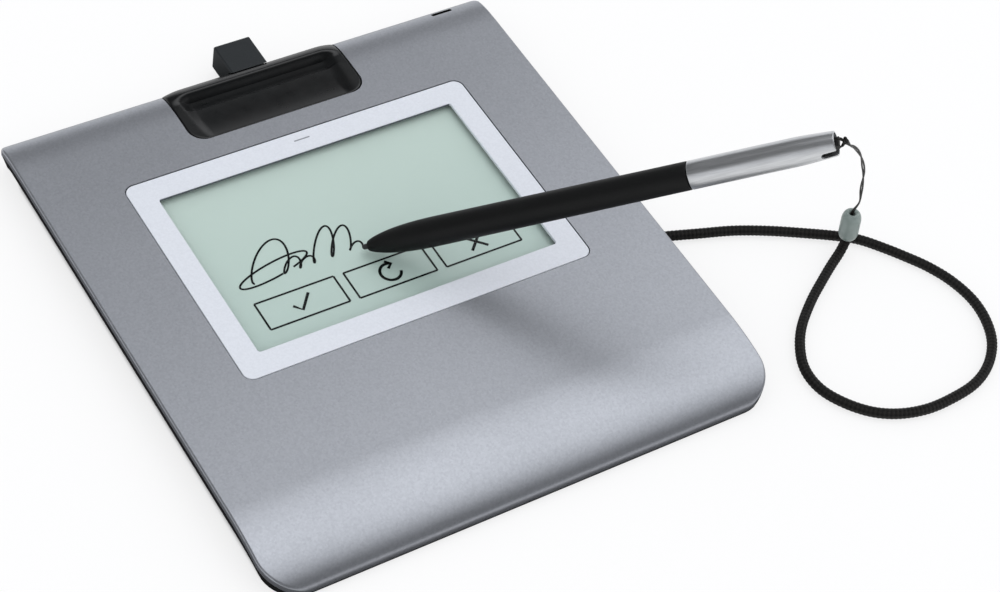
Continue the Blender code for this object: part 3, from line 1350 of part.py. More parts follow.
def make_looks():
    """Materials of all pieces, from the colours of the real finishes."""
    return {
        "paint": material("silver_paint", (0.36, 0.37, 0.40), 0.38, 0.55),
        "base": material("black_base_plastic", (0.012, 0.012, 0.013), 0.55),
        "bezel": material("light_bezel_plastic", (0.70, 0.73, 0.78), 0.45),
        "glass": material("writing_glass", (0.62, 0.72, 0.68), 0.12),
        "panel": material("lcd_grey_green", (0.48, 0.60, 0.55), 0.30),
        "inner_plastic": material("black_inner_plastic", (0.02, 0.02, 0.02), 0.5),
        "board": material("circuit_board", (0.02, 0.16, 0.06), 0.45),
        "steel": material("plated_steel", (0.62, 0.62, 0.60), 0.30, 1.0),
        "black_steel": material("blackened_steel", (0.05, 0.05, 0.05), 0.40, 1.0),
        "tray": material("gloss_black_plastic", (0.018, 0.019, 0.021), 0.18),
        "port_plastic": material("dark_grey_plastic", (0.028, 0.034, 0.038), 0.45),
        "chip": material("chip_resin", (0.015, 0.015, 0.015), 0.5),
        "ribbon": material("ribbon_film", (0.55, 0.30, 0.05), 0.35),
        "rubber": material("foot_rubber", (0.02, 0.02, 0.02), 0.85),
        "braid": material("cord_braid", (0.012, 0.012, 0.011), 0.8),
        "string": material("string_fibre", (0.022, 0.021, 0.018), 0.8),
        "sleeve": material("sleeve_plastic", (0.25, 0.31, 0.29), 0.35),
        "nib": material("nib_plastic", (0.03, 0.03, 0.03), 0.4),
        "grip": material("grip_soft_plastic", (0.011, 0.011, 0.012), 0.55),
        "silver": material("barrel_silver", (0.42, 0.43, 0.44), 0.32, 0.7),
        "ferrite": material("ferrite", (0.05, 0.045, 0.045), 0.6),
        "copper": material("coil_copper", (0.65, 0.28, 0.12), 0.35, 1.0),
    }


def main():
    """Builds every piece of the signature pad."""
    clear_scene()
    looks = make_looks()
    build_top_cover(looks["paint"])
    build_bottom_case(looks["base"])
    build_display(looks)
    build_pen_tray(looks["tray"])
    build_port(looks)
    build_electronics(looks)
    build_screws_and_feet(looks)
    build_lock_plate(looks["steel"])
    build_anchor(looks)
    build_pen(looks)
    build_tether(looks)


main()
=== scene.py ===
"""Looks of a desktop signature pad with a tethered pen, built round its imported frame.

Lengths are in metres. The origin is the centre of the pad's flat underside, +X points to the
pad's right, +Y to its rear edge and +Z up, as in the frame.
"""

import enum
import json
import logging
import math
from dataclasses import dataclass, field
from typing import Optional, Sequence, Union

import bmesh
import bpy
import numpy as np
from mathutils import Matrix, Vector
from mathutils.geometry import delaunay_2d_cdt

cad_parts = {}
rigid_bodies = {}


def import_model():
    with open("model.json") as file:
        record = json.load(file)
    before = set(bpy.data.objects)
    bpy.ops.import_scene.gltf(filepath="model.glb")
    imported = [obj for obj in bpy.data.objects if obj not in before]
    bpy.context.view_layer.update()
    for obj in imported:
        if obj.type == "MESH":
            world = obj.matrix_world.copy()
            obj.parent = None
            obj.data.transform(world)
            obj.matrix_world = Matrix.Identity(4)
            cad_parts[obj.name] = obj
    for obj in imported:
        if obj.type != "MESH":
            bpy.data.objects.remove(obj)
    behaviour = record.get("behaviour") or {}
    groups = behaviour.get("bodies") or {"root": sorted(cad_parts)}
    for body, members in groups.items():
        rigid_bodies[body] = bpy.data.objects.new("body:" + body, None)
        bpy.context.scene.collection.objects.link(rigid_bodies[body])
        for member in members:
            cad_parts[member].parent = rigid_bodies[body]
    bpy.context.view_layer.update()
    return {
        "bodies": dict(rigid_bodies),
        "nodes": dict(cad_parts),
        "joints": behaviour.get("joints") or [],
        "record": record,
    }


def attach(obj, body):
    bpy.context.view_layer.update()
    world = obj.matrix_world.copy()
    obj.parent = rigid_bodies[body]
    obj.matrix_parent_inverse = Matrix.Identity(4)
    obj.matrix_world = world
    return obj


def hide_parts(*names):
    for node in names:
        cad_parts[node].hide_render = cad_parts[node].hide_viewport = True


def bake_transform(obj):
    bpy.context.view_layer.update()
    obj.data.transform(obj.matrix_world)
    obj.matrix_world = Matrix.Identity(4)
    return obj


Array = np.ndarray
Material = bpy.types.Material
Socket = bpy.types.NodeSocket
Tree = bpy.types.NodeTree
LOG = logging.getLogger("signature_pad")
MM = 0.001

# Edges sharper than the crease, in degrees, stay sharp. Points nearer than the weld become one.
CREASE = 32.0
WELD = 1e-6


class Body(enum.Enum):
    """The moving bodies of the frame."""

    PAD = "pad"
    PEN = "pen"
    NIB = "nib"


class Along(enum.Enum):
    """The way that a drawn, brushed or combed grain runs."""

    ANY = (1.0, 1.0, 1.0)
    WIDTH = (0.06, 1.0, 1.0)
    PEN = (1.0, 1.0, 0.05)


@dataclass(frozen=True)
class PenAxis:
    """How the pen stands with its nib at the glass, and the sizes that set its place."""

    slope: float = 29.31
    heading: float = -34.95
    roll: float = -96.4
    tip: tuple[float, float] = (-0.00379, 0.00704)
    glass_top: float = 0.0083
    gap: float = 0.0003
    nib_radius: float = 0.0008
    length: float = 0.1396
    loop_radius: float = 0.0015
    loop_wire: float = 0.00045
    eye_proud: float = 0.00085
    eye_wall: float = 0.0009

    def direction(self) -> Vector:
        """Unit vector from the nib to the pen's tail, by its slope and heading.

        Returns:
            The vector.
        """
        slope = math.radians(self.slope)
        heading = math.radians(self.heading)
        return Vector((math.cos(slope) * math.cos(heading), math.cos(slope) * math.sin(heading),
                       math.sin(slope)))

    def turn(self) -> Matrix:
        """Turn that carries the upright axis on to the pen's, rolled to its tail slot.

        Returns:
            The turn, as three rows of three.
        """
        axis = self.direction()
        level = Vector((-axis.y, axis.x, 0.0)).normalized()
        upper = axis.cross(level)
        roll = math.radians(self.roll)
        side = level * math.cos(roll) + upper * math.sin(roll)
        return Matrix((side, axis.cross(side), axis)).transposed()

    def frame(self) -> Matrix:
        """Place and turn of the pen, with its tip at the origin of its own axis.

        Returns:
            The matrix.
        """
        lift = self.gap + self.nib_radius * (1 - math.sin(math.radians(self.slope)))
        tip = Vector((*self.tip, self.glass_top + lift))
        return Matrix.Translation(tip) @ self.turn().to_4x4()

    def point(self, reach: float) -> Vector:
        """A point on the pen's axis at a distance from its tip."""
        return self.frame() @ Vector((0.0, 0.0, reach))

    def loop_reach(self) -> float:
        """How far along the pen the loop's centre is, in the middle of the eye's end wall."""
        return self.length + self.eye_proud - self.eye_wall / 2


PEN_AXIS = PenAxis()


# Colours and shader nodes


def linear(colour: str) -> tuple[float, float, float, float]:
    """Turns an sRGB hex colour into linear light with full alpha.

    Args:
        colour: Six hex digits after a hash.

    Returns:
        Red, green, blue and alpha for a shader socket.
    """
    channels = np.array([int(colour[place:place + 2], 16) for place in (1, 3, 5)]) / 255
    light = np.where(channels <= 0.04045, channels / 12.92, ((channels + 0.055) / 1.055) ** 2.4)
    return (float(light[0]), float(light[1]), float(light[2]), 1.0)


def add_node(
    tree: Tree,
    kind: str,
    inputs: Optional[dict] = None,
    **settings: object,
) -> bpy.types.Node:
    """Adds one shader node with its settings and links.

    Args:
        tree: The node tree that gets it.
        kind: The node's type, without the words Shader Node in front.
        inputs: A value, or the output socket to link, for each input's name or number.
        settings: Properties of the node itself.

    Returns:
        The new node.
    """
    node = tree.nodes.new("ShaderNode" + kind)
    for name, value in settings.items():
        setattr(node, name, value)
    for name, value in (inputs or {}).items():
        if isinstance(value, Socket):
            tree.links.new(value, node.inputs[name])
        else:
            node.inputs[name].default_value = value
    return node


def ramp(node: bpy.types.Node, stops: Sequence[tuple[float, tuple]]) -> None:
    """Gives a colour ramp its stops.

    Args:
        node: The ramp.
        stops: A place from 0 to 1 and its linear colour, in order.
    """
    elements = node.color_ramp.elements
    while len(elements) < len(stops):
        elements.new(0.5)
    for element, (place, colour) in zip(elements, stops):
        element.position = place
        element.color = colour


# Finishes


@dataclass(frozen=True)
class Finish:
    """What all finishes share: a surface with a fine grain in its colour, gloss and relief.

    The real grain of moulded and sprayed pieces is under 0.1 mm, too fine to show in the render,
    so it is drawn 0.16 to 0.8 mm wide.
    """

    name: str
    colour: str
    roughness: float
    metallic: float = 0.0
    ior: float = 1.5
    grain: float = 0.4 * MM
    colour_spread: float = 0.06
    gloss_spread: float = 0.05
    relief: float = 0.004 * MM
    along: Along = Along.ANY

    def start(self) -> tuple[Material, Tree, bpy.types.Node]:
        """Makes an empty material with the even values of this finish on its shader.

        Returns:
            The material, its nodes and its Principled shader.
        """
        material = bpy.data.materials.new(self.name)
        material.use_nodes = True
        tree = material.node_tree
        shader = tree.nodes["Principled BSDF"]
        shader.inputs["Base Color"].default_value = linear(self.colour)
        shader.inputs["Roughness"].default_value = self.roughness
        shader.inputs["Metallic"].default_value = self.metallic
        if self.metallic < 1.0:
            shader.inputs["IOR"].default_value = self.ior
        material.diffuse_color = linear(self.colour)
        return material, tree, shader

    def place(self, tree: Tree) -> Socket:
        """Object coordinates, stretched where the grain runs one way.

        Args:
            tree: The material's nodes.

        Returns:
            The coordinates.
        """
        spot = add_node(tree, "TexCoord").outputs["Object"]
        if self.along is Along.ANY:
            return spot
        turn = PEN_AXIS.turn() if self.along is Along.PEN else Matrix.Identity(3)
        mapping = add_node(tree, "Mapping", {"Vector": spot}, vector_type="TEXTURE")
        mapping.inputs["Rotation"].default_value = turn.to_euler()
        stretched = add_node(tree, "VectorMath", {0: mapping.outputs["Vector"]},
                             operation="MULTIPLY")
        stretched.inputs[1].default_value = self.along.value
        return stretched.outputs["Vector"]

    def mottle(self, tree: Tree, spot: Socket, size: float, detail: float = 2.0) -> Socket:
        """Uneven pattern whose lumps are about one size across.

        Args:
            tree: The material's nodes.
            spot: The coordinates it reads.
            size: The lumps' size in metres.
            detail: Levels of finer noise on it.

        Returns:
            The factor, from 0 to 1 about a half.
        """
        return add_node(tree, "TexNoise", {
            "Vector": spot, "Scale": 0.5 / size, "Detail": detail, "Roughness": 0.55,
        }).outputs["Fac"]

    def tint(
        self, tree: Tree, shader: bpy.types.Node, factor: Socket,
        low: str, high: str, reach: tuple[float, float] = (0.35, 0.65),
    ) -> None:
        """Runs the base colour from one shade to another as a pattern rises.

        Args:
            tree: The material's nodes.
            shader: Its Principled shader.
            factor: The pattern.
            low: The shade where it is low, as sRGB hex.
            high: The shade where it is high.
            reach: The pattern's values at which the two shades are reached.
        """
        colours = add_node(tree, "ValToRGB", {"Fac": factor})
        ramp(colours, [(reach[0], linear(low)), (reach[1], linear(high))])
        tree.links.new(colours.outputs["Color"], shader.inputs["Base Color"])

    def shades(self) -> tuple[str, str]:
        """The finish's colour made a little darker and a little lighter.

        Returns:
            The two shades as sRGB hex.
        """
        channels = np.array([int(self.colour[place:place + 2], 16) for place in (1, 3, 5)])
        pair = [
            np.clip(np.rint(channels * (1 + way * self.colour_spread)), 0, 255).astype(int)
            for way in (-1, 1)
        ]
        return tuple("#%02X%02X%02X" % tuple(shade) for shade in pair)

    def gloss(self, tree: Tree, shader: bpy.types.Node, factor: Socket) -> None:
        """Lets the roughness vary by the finish's spread about its value.

        Args:
            tree: The material's nodes.
            shader: Its Principled shader.
            factor: The pattern.
        """
        spread = add_node(tree, "MapRange", {
            "Value": factor, "From Min": 0.3, "From Max": 0.7,
            "To Min": self.roughness - self.gloss_spread,
            "To Max": self.roughness + self.gloss_spread,
        })
        tree.links.new(spread.outputs["Result"], shader.inputs["Roughness"])

    def emboss(self, tree: Tree, shader: bpy.types.Node, factor: Socket) -> None:
        """Raises the surface by the finish's relief where a pattern is high.

        Args:
            tree: The material's nodes.
            shader: Its Principled shader.
            factor: The pattern.
        """
        raised = add_node(tree, "Bump", {
            "Height": factor, "Distance": self.relief, "Strength": 1.0,
        })
        tree.links.new(raised.outputs["Normal"], shader.inputs["Normal"])

    def make(self) -> Material:
        """Makes the material: grain in the colour, gloss and relief from two noises.

        Returns:
            The material.
        """
        material, tree, shader = self.start()
        spot = self.place(tree)
        fine = self.mottle(tree, spot, self.grain, 3.0)
        broad = self.mottle(tree, spot, self.grain * 30, 2.0)
        self.tint(tree, shader, fine, *self.shades())
        self.gloss(tree, shader, broad)
        self.emboss(tree, shader, fine)
        return material


@dataclass(frozen=True)
class SilverPaint(Finish):
    """Satin metallic paint on moulded plastic: fine flakes, which the eye sees as a grey grain.

    Real flakes are about 0.05 mm, too fine for the render, so they are drawn 0.34 mm wide.
    """

    flake: float = 0.34 * MM
    speck_share: float = 0.45
    coat: float = 0.12
    coat_roughness: float = 0.3

    def make(self) -> Material:
        """Makes the paint: two sizes of flake speckle, and a clear coat with slight ripple.

        Returns:
            The material.
        """
        material, tree, shader = self.start()
        spot = self.place(tree)
        flakes = self.mottle(tree, spot, self.flake, 1.0)
        specks = add_node(tree, "TexVoronoi", {
            "Vector": spot, "Scale": 0.55 / self.flake, "Randomness": 1.0,
        }).outputs["Color"]
        mixed = add_node(tree, "Mix", {0: self.speck_share, 2: flakes, 3: specks},
                         data_type="FLOAT")
        self.tint(tree, shader, mixed.outputs[0], *self.shades(), reach=(0.25, 0.75))
        self.gloss(tree, shader, self.mottle(tree, spot, self.flake * 60, 2.0))
        self.emboss(tree, shader, self.mottle(tree, spot, self.flake * 1.5, 2.0))
        shader.inputs["Coat Weight"].default_value = self.coat
        shader.inputs["Coat Roughness"].default_value = self.coat_roughness
        return material


@dataclass(frozen=True)
class EtchedGlass(Finish):
    """Cover glass with a finely etched and coated top, which mirrors little and softly."""

    body: str = "#F4F8F6"

    def make(self) -> Material:
        """Makes clear glass with a faint etched relief, which lets the lamps' light through.

        Returns:
            The material.
        """
        material, tree, shader = self.start()
        spot = self.place(tree)
        shader.inputs["Transmission Weight"].default_value = 1.0
        self.emboss(tree, shader, self.mottle(tree, spot, self.grain, 2.0))
        path = add_node(tree, "LightPath")
        through = add_node(tree, "Math", {
            0: path.outputs["Is Shadow Ray"], 1: path.outputs["Is Diffuse Ray"],
        }, operation="MAXIMUM")
        clear = add_node(tree, "BsdfTransparent")
        clear.inputs["Color"].default_value = linear(self.body)
        both = add_node(tree, "MixShader", {
            0: through.outputs[0], 1: shader.outputs[0], 2: clear.outputs[0],
        })
        tree.links.new(both.outputs[0], tree.nodes["Material Output"].inputs["Surface"])
        return material


@dataclass(frozen=True)
class ReflectiveLcd(Finish):
    """Grey-green reflective liquid crystal panel: a soft mirror behind a fine grid of dots.

    The dots are 0.3 mm apart, as on a panel of 320 by 200 dots, 96 mm wide.
    """

    pitch: float = 0.3 * MM
    # The lighter colour, and the span in Y over which it is reached, make a painted shading: darker
    # at the front, lighter at the rear.
    lighter: str = "#D7E4DE"
    painted_shade_span: tuple[float, float] = (-0.015, 0.047)
    gap_share: float = 0.12
    gap_strength: float = 0.06
    gap_colour: str = "#7E9088"
    cloud: float = 4 * MM

    def make(self) -> Material:
        """Makes the panel: painted shading from a darker front to a lighter rear, and thin darker
        lines of the grid.

        Returns:
            The material.
        """
        material, tree, shader = self.start()
        spot = add_node(tree, "TexCoord").outputs["Object"]
        axes = add_node(tree, "SeparateXYZ", {0: spot})
        # Painted shading: the colour is darker at the front of the panel and lighter at its rear.
        painted_shade_span = add_node(tree, "MapRange", {
            "Value": axes.outputs["Y"], "From Min": self.painted_shade_span[0], "From Max": self.painted_shade_span[1],
        })
        shade = add_node(tree, "ValToRGB", {"Fac": painted_shade_span.outputs["Result"]})
        ramp(shade, [(0.0, linear(self.colour)), (1.0, linear(self.lighter))])
        lines = []
        for axis in ("X", "Y"):
            cell = add_node(tree, "Math", {0: axes.outputs[axis], 1: 1 / self.pitch},
                            operation="MULTIPLY")
            part = add_node(tree, "Math", {0: cell.outputs[0]}, operation="FRACT")
            lines.append(add_node(tree, "Math", {0: part.outputs[0], 1: self.gap_share},
                                  operation="LESS_THAN").outputs[0])
        grid = add_node(tree, "Math", {0: lines[0], 1: lines[1]}, operation="MAXIMUM")
        weak = add_node(tree, "Math", {0: grid.outputs[0], 1: self.gap_strength},
                        operation="MULTIPLY")
        mixed = add_node(tree, "Mix", {
            0: weak.outputs[0], 6: shade.outputs["Color"], 7: linear(self.gap_colour),
        }, data_type="RGBA")
        tree.links.new(mixed.outputs[2], shader.inputs["Base Color"])
        self.gloss(tree, shader, self.mottle(tree, spot, self.cloud, 2.0))
        return material


@dataclass(frozen=True)
class GlossBlack(Finish):
    """Black plastic with a soft shine and the faint smears that a handled piece gathers."""

    smear: float = 6 * MM
    smudge: float = 2 * MM
    coat: float = 0.10
    coat_roughness: float = 0.22

    def make(self) -> Material:
        """Makes the shine: smears in the roughness, a thin clear coat and hairline relief.

        Returns:
            The material.
        """
        material, tree, shader = self.start()
        spot = self.place(tree)
        self.tint(tree, shader, self.mottle(tree, spot, self.smear, 3.0), *self.shades())
        self.gloss(tree, shader, self.mottle(tree, spot, self.smudge, 4.0))
        self.emboss(tree, shader, self.mottle(tree, spot, self.grain, 2.0))
        shader.inputs["Coat Weight"].default_value = self.coat
        shader.inputs["Coat Roughness"].default_value = self.coat_roughness
        return material


@dataclass(frozen=True)
class BraidedCord(Finish):
    """Black polyester braid: matt strands, with painted shade in the gaps between them and a
    painted highlight on their crowns.
    """

    # Colour of the painted highlight on the strands' crowns; the finish's own colour is the painted
    # shade in the gaps.
    crown: str = "#24221F"
    sheen: float = 0.05
    sheen_roughness: float = 0.5

    def make(self) -> Material:
        """Makes the braid: by the relief attribute, painted shade in the gaps and painted light on
        the crowns, fine fibres along it.

        Returns:
            The material.
        """
        material, tree, shader = self.start()
        relief = add_node(tree, "Attribute", attribute_name="relief").outputs["Fac"]
        # Painted shade and light: dark where the braid is recessed, lighter on its raised crowns.
        self.tint(tree, shader, relief, self.colour, self.crown, (0.25, 0.95))
        spot = add_node(tree, "TexCoord").outputs["UV"]
        fibres = add_node(tree, "TexWave", {
            "Vector": spot, "Scale": 9.0, "Distortion": 3.0, "Detail": 2.0,
        }, bands_direction="DIAGONAL")
        self.emboss(tree, shader, fibres.outputs["Fac"])
        shader.inputs["Sheen Weight"].default_value = self.sheen
        shader.inputs["Sheen Roughness"].default_value = self.sheen_roughness
        return material


@dataclass(frozen=True)
class MilkySleeve(Finish):
    """Soft vinyl sleeve: milky grey-green, lit through where it is thin."""

    cloud: float = 2.5 * MM
    smudge: float = 1.5 * MM
    scatter: float = 0.35
    scatter_depth: float = 1.2 * MM
    scatter_tint: tuple[float, float, float] = (1.0, 1.1, 1.05)

    def make(self) -> Material:
        """Makes the sleeve: light scatters a millimetre deep, with clouding in the colour.

        Returns:
            The material.
        """
        material, tree, shader = self.start()
        spot = self.place(tree)
        self.tint(tree, shader, self.mottle(tree, spot, self.cloud, 2.0), *self.shades())
        self.gloss(tree, shader, self.mottle(tree, spot, self.smudge, 2.0))
        self.emboss(tree, shader, self.mottle(tree, spot, self.grain, 2.0))
        shader.inputs["Subsurface Weight"].default_value = self.scatter
        shader.inputs["Subsurface Radius"].default_value = self.scatter_tint
        shader.inputs["Subsurface Scale"].default_value = self.scatter_depth
        return material


@dataclass(frozen=True)
class CircuitBoard(Finish):
    """Green solder mask over copper tracks, seen as lighter lines."""

    track: float = 0.8 * MM

    def make(self) -> Material:
        """Makes the mask: square cells of track pattern a shade lighter than the rest.

        Returns:
            The material.
        """
        material, tree, shader = self.start()
        spot = self.place(tree)
        cells = add_node(tree, "TexVoronoi", {
            "Vector": spot, "Scale": 0.35 / self.track, "Randomness": 0.6,
        }, distance="MANHATTAN", feature="F1")
        self.tint(tree, shader, cells.outputs["Distance"], *self.shades(), reach=(0.3, 0.45))
        self.gloss(tree, shader, self.mottle(tree, spot, self.grain * 20, 2.0))
        self.emboss(tree, shader, cells.outputs["Distance"])
        return material


# Metallic spray under a thin coat: a satin grey, light where it mirrors the softbox.
SILVER_PAINT = SilverPaint("painted_abs_silver", "#A4A7AD", 0.35, 0.80, colour_spread=0.035,
                           gloss_spread=0.02, relief=0.004 * MM)
# Spark-textured mould: an even dull black.
BLACK_ABS = Finish("moulded_abs_black", "#1C1C1D", 0.50, grain=0.3 * MM,
                   relief=0.010 * MM)
# Smooth mould: a cool off-white with a soft shine.
LIGHT_ABS = Finish("moulded_abs_light", "#DFE3EA", 0.40, grain=0.35 * MM,
                   colour_spread=0.012, relief=0.003 * MM)
# Etched and coated top: clear, with barely a veil over the display.
COVER_GLASS = EtchedGlass("etched_cover_glass", "#FFFFFF", 0.06, ior=1.22,
                          grain=0.25 * MM, relief=0.0006 * MM)
# Polariser film over a silvered back: a grey-green with a soft sheen, and painted shading that runs
# from a darker front to a lighter rear.
LCD_PANEL = ReflectiveLcd("reflective_lcd", "#C6D6D1", 0.42, 0.10, gloss_spread=0.03)
# Switched liquid crystal: near black, without shine.
LCD_SEGMENT = Finish("lcd_dark_dots", "#050A0A", 0.6, ior=1.2, grain=0.3 * MM)
# Filled nylon, moulded: a dull dark grey.
INNER_BLACK = Finish("moulded_nylon_black", "#222222", 0.55, grain=0.35 * MM,
                     relief=0.008 * MM)
# Solder mask over etched copper: green, with paler tracks.
BOARD = CircuitBoard("fr4_solder_mask", "#1F6A3C", 0.38, colour_spread=0.22)
# Rolled and zinc plated: bright, with faint lines across the sheet.
PLATED_STEEL = Finish("zinc_plated_steel", "#C6C6C3", 0.30, 1.0, grain=0.25 * MM,
                      along=Along.WIDTH, relief=0.002 * MM)
# Blackened in an oxide bath: dark metal with a low shine.
BLACKENED_STEEL = Finish("black_oxide_steel", "#3A3A3B", 0.42, 1.0, grain=0.3 * MM)
# Smooth mould: deep black with a soft highlight.
TRAY_BLACK = GlossBlack("satin_abs_black", "#080A0B", 0.30, ior=1.46, gloss_spread=0.03,
                        relief=0.0012 * MM, grain=0.8 * MM)
# Textured mould: a dark bluish grey, almost dull.
PORT_GREY = Finish("moulded_abs_dark_grey", "#1D2225", 0.50, ior=1.4, grain=0.3 * MM,
                   relief=0.005 * MM)
# Pressed epoxy: flat black.
CHIP_RESIN = Finish("moulded_epoxy_black", "#202021", 0.55, grain=0.2 * MM)
# Cast film: smooth amber.
FILM = Finish("polyimide_film", "#B8863C", 0.28, grain=0.5 * MM, colour_spread=0.1)
# Moulded rubber: the dullest black on the pad.
FOOT_RUBBER = Finish("moulded_rubber_black", "#1B1B1B", 0.80, grain=0.5 * MM,
                     relief=0.02 * MM)
# Braided filament: painted shade in the gaps and a faint painted highlight on the crowns.
BRAID = BraidedCord("polyester_braid_black", "#0B0A09", 0.80, ior=1.35,
                    relief=0.03 * MM)
# Twisted and waxed fibre: black with a broken shine.
STRING = Finish("waxed_thread_black", "#1B1A17", 0.60, grain=0.16 * MM,
                colour_spread=0.2, relief=0.012 * MM)
# Extruded soft vinyl: a milky grey-green that light sinks into.
SLEEVE = MilkySleeve("soft_vinyl_milky", "#86928E", 0.38, colour_spread=0.05, gloss_spread=0.05)
# Turned acetal: dark grey with a slight shine.
NIB_PLASTIC = Finish("acetal_dark_grey", "#2A2A2B", 0.45, grain=0.2 * MM)
# Sprayed soft coat: velvety black with a wide faint highlight.
GRIP = Finish("soft_touch_black", "#0E0F0F", 0.55, ior=1.33, grain=0.28 * MM,
              relief=0.008 * MM, colour_spread=0.12)
# Drawn and anodised tube: silver, with streaks that run along the pen.
BARREL = Finish("anodised_aluminium_silver", "#CBCDCF", 0.38, 0.95, grain=0.22 * MM,
                colour_spread=0.04, gloss_spread=0.03, along=Along.PEN,
                relief=0.0008 * MM)
# Pressed and fired ferrite: charcoal with a trace of metal.
FERRITE = Finish("fired_ferrite", "#38363A", 0.6, 0.2, grain=0.3 * MM)
# Enamelled winding wire: warm copper, with lines along its turns.
COPPER = Finish("enamelled_copper", "#B4703C", 0.32, 1.0, grain=0.2 * MM,
                along=Along.WIDTH)
# Painted shade: a flat matt slate put on the window's front and rear walls, where shade falls.
PAINTED_WALL_SHADE = Finish("painted_wall_shade_slate", "#565B64", 0.6, grain=0.3 * MM)
# Matt print: a flat mid grey.
MARK_INK = Finish("printed_grey_ink", "#8C9096", 0.5, grain=0.2 * MM)


class Paintbox:
    """Makes each finish once and hands it out."""

    def __init__(self) -> None:
        """Starts with no finish made."""
        self.made: dict[str, Material] = {}

    def __getitem__(self, finish: Finish) -> Material:
        """Returns the finish's material, made at its first use.

        Args:
            finish: The finish.

        Returns:
            Its material.
        """
        if finish.name not in self.made:
            self.made[finish.name] = finish.make()
        return self.made[finish.name]


# Surfaces


def grid_faces(rows: int, columns: int) -> Array:
    """Quads between the points of a grid numbered row by row.

    Args:
        rows: Rows of points.
        columns: Points in a row.

    Returns:
        Four point numbers for each quad.
    """
    number = np.arange(rows * columns).reshape(rows, columns)
    quads = [number[:-1, :-1], number[:-1, 1:], number[1:, 1:], number[1:, :-1]]
    return np.stack(quads, axis=-1).reshape(-1, 4)


@dataclass
class Skin:
    """Points, faces and surface coordinates gathered for one piece."""

    points: list = field(default_factory=list)
    faces: list = field(default_factory=list)
    charts: list = field(default_factory=list)
    looks: list = field(default_factory=list)
    reliefs: list = field(default_factory=list)
    count: int = 0

    def add(
        self, points: Array, faces: Array, chart: Optional[Array] = None, look: int = 0,
        relief: Optional[Array] = None,
    ) -> None:
        """Adds a surface.

        Args:
            points: Its points, one row each.
            faces: Point numbers of its faces, counted from 0.
            chart: The surface coordinates of its points, or nothing.
            look: The number of the material on it.
            relief: How raised each point is, from 0 to 1, or nothing.
        """
        self.points.append(points)
        self.faces += (np.asarray(faces) + self.count).tolist()
        self.charts.append(np.zeros((len(points), 2)) if chart is None else chart)
        self.reliefs.append(np.zeros(len(points)) if relief is None else relief)
        self.looks += [look] * len(faces)
        self.count += len(points)

    def grid(
        self, net: Array, chart: Optional[Array] = None, look: int = 0,
        relief: Optional[Array] = None,
    ) -> None:
        """Adds a net of points, rows by columns, as quads.

        Args:
            net: The points.
            chart: Their surface coordinates, or nothing.
            look: The number of the material on it.
            relief: How raised each is, or nothing.
        """
        rows, columns = net.shape[:2]
        self.add(net.reshape(-1, 3), grid_faces(rows, columns),
                 None if chart is None else chart.reshape(-1, 2), look,
                 None if relief is None else relief.reshape(-1))

    def cap(self, loop: Array) -> None:
        """Closes a flat loop of points with one face."""
        self.add(loop, np.arange(len(loop))[None, :])

    def bar(
        self, net: Array, chart: Optional[Array] = None, relief: Optional[Array] = None
    ) -> None:
        """Adds a net whose rows close round, and closes its first and its last row.

        Args:
            net: Its points, rows by columns.
            chart: Their surface coordinates, or nothing.
            relief: How raised each is, or nothing.
        """
        self.grid(net, chart, relief=relief)
        self.cap(net[0, :-1])
        self.cap(net[-1, :-1])

    def piece(
        self, name: str, materials: Sequence[Material], body: Optional[Body],
        replaced: Sequence[str] = (), crease: float = CREASE,
        weld: float = WELD, weighted: bool = False,
    ) -> bpy.types.Object:
        """Makes the piece: welds seams and poles, turns faces out, shades it and seats it.

        Args:
            name: The piece's name.
            materials: Its materials, by the faces' numbers.
            body: The body that it rides on, or nothing where it is blended later.
            replaced: CAD nodes that it stands for.
            crease: Edges sharper than this many degrees stay sharp.
            weld: Points nearer than this become one.
            weighted: True to let large flat faces rule the shading of their edges.

        Returns:
            The new object.
        """
        mesh = bpy.data.meshes.new(name)
        mesh.from_pydata(np.concatenate(self.points), [], self.faces)
        chart = np.concatenate(self.charts)
        corners = np.zeros(len(mesh.loops), np.int32)
        mesh.loops.foreach_get("vertex_index", corners)
        layer = mesh.uv_layers.new(name="surface")
        layer.data.foreach_set("uv", chart[corners].astype(np.float32).ravel())
        relief = mesh.attributes.new("relief", "FLOAT", "POINT")
        relief.data.foreach_set("value", np.concatenate(self.reliefs).astype(np.float32))
        mesh.polygons.foreach_set("material_index", np.array(self.looks, np.int32))
        shape = bmesh.new()
        shape.from_mesh(mesh)
        bmesh.ops.remove_doubles(shape, verts=shape.verts, dist=weld)
        bmesh.ops.recalc_face_normals(shape, faces=shape.faces)
        shape.to_mesh(mesh)
        shape.free()
        mesh.shade_smooth()
        mesh.set_sharp_from_angle(angle=math.radians(crease))
        made = bpy.data.objects.new(name, mesh)
        bpy.context.scene.collection.objects.link(made)
        for material in materials:
            mesh.materials.append(material)
        if weighted:
            step = made.modifiers.new("even_shading", "WEIGHTED_NORMAL")
            step.keep_sharp = True
        if body is not None:
            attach(made, body.value)
        if replaced:
            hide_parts(*replaced)
        LOG.info("%s: %d faces", name, len(mesh.polygons))
        return made


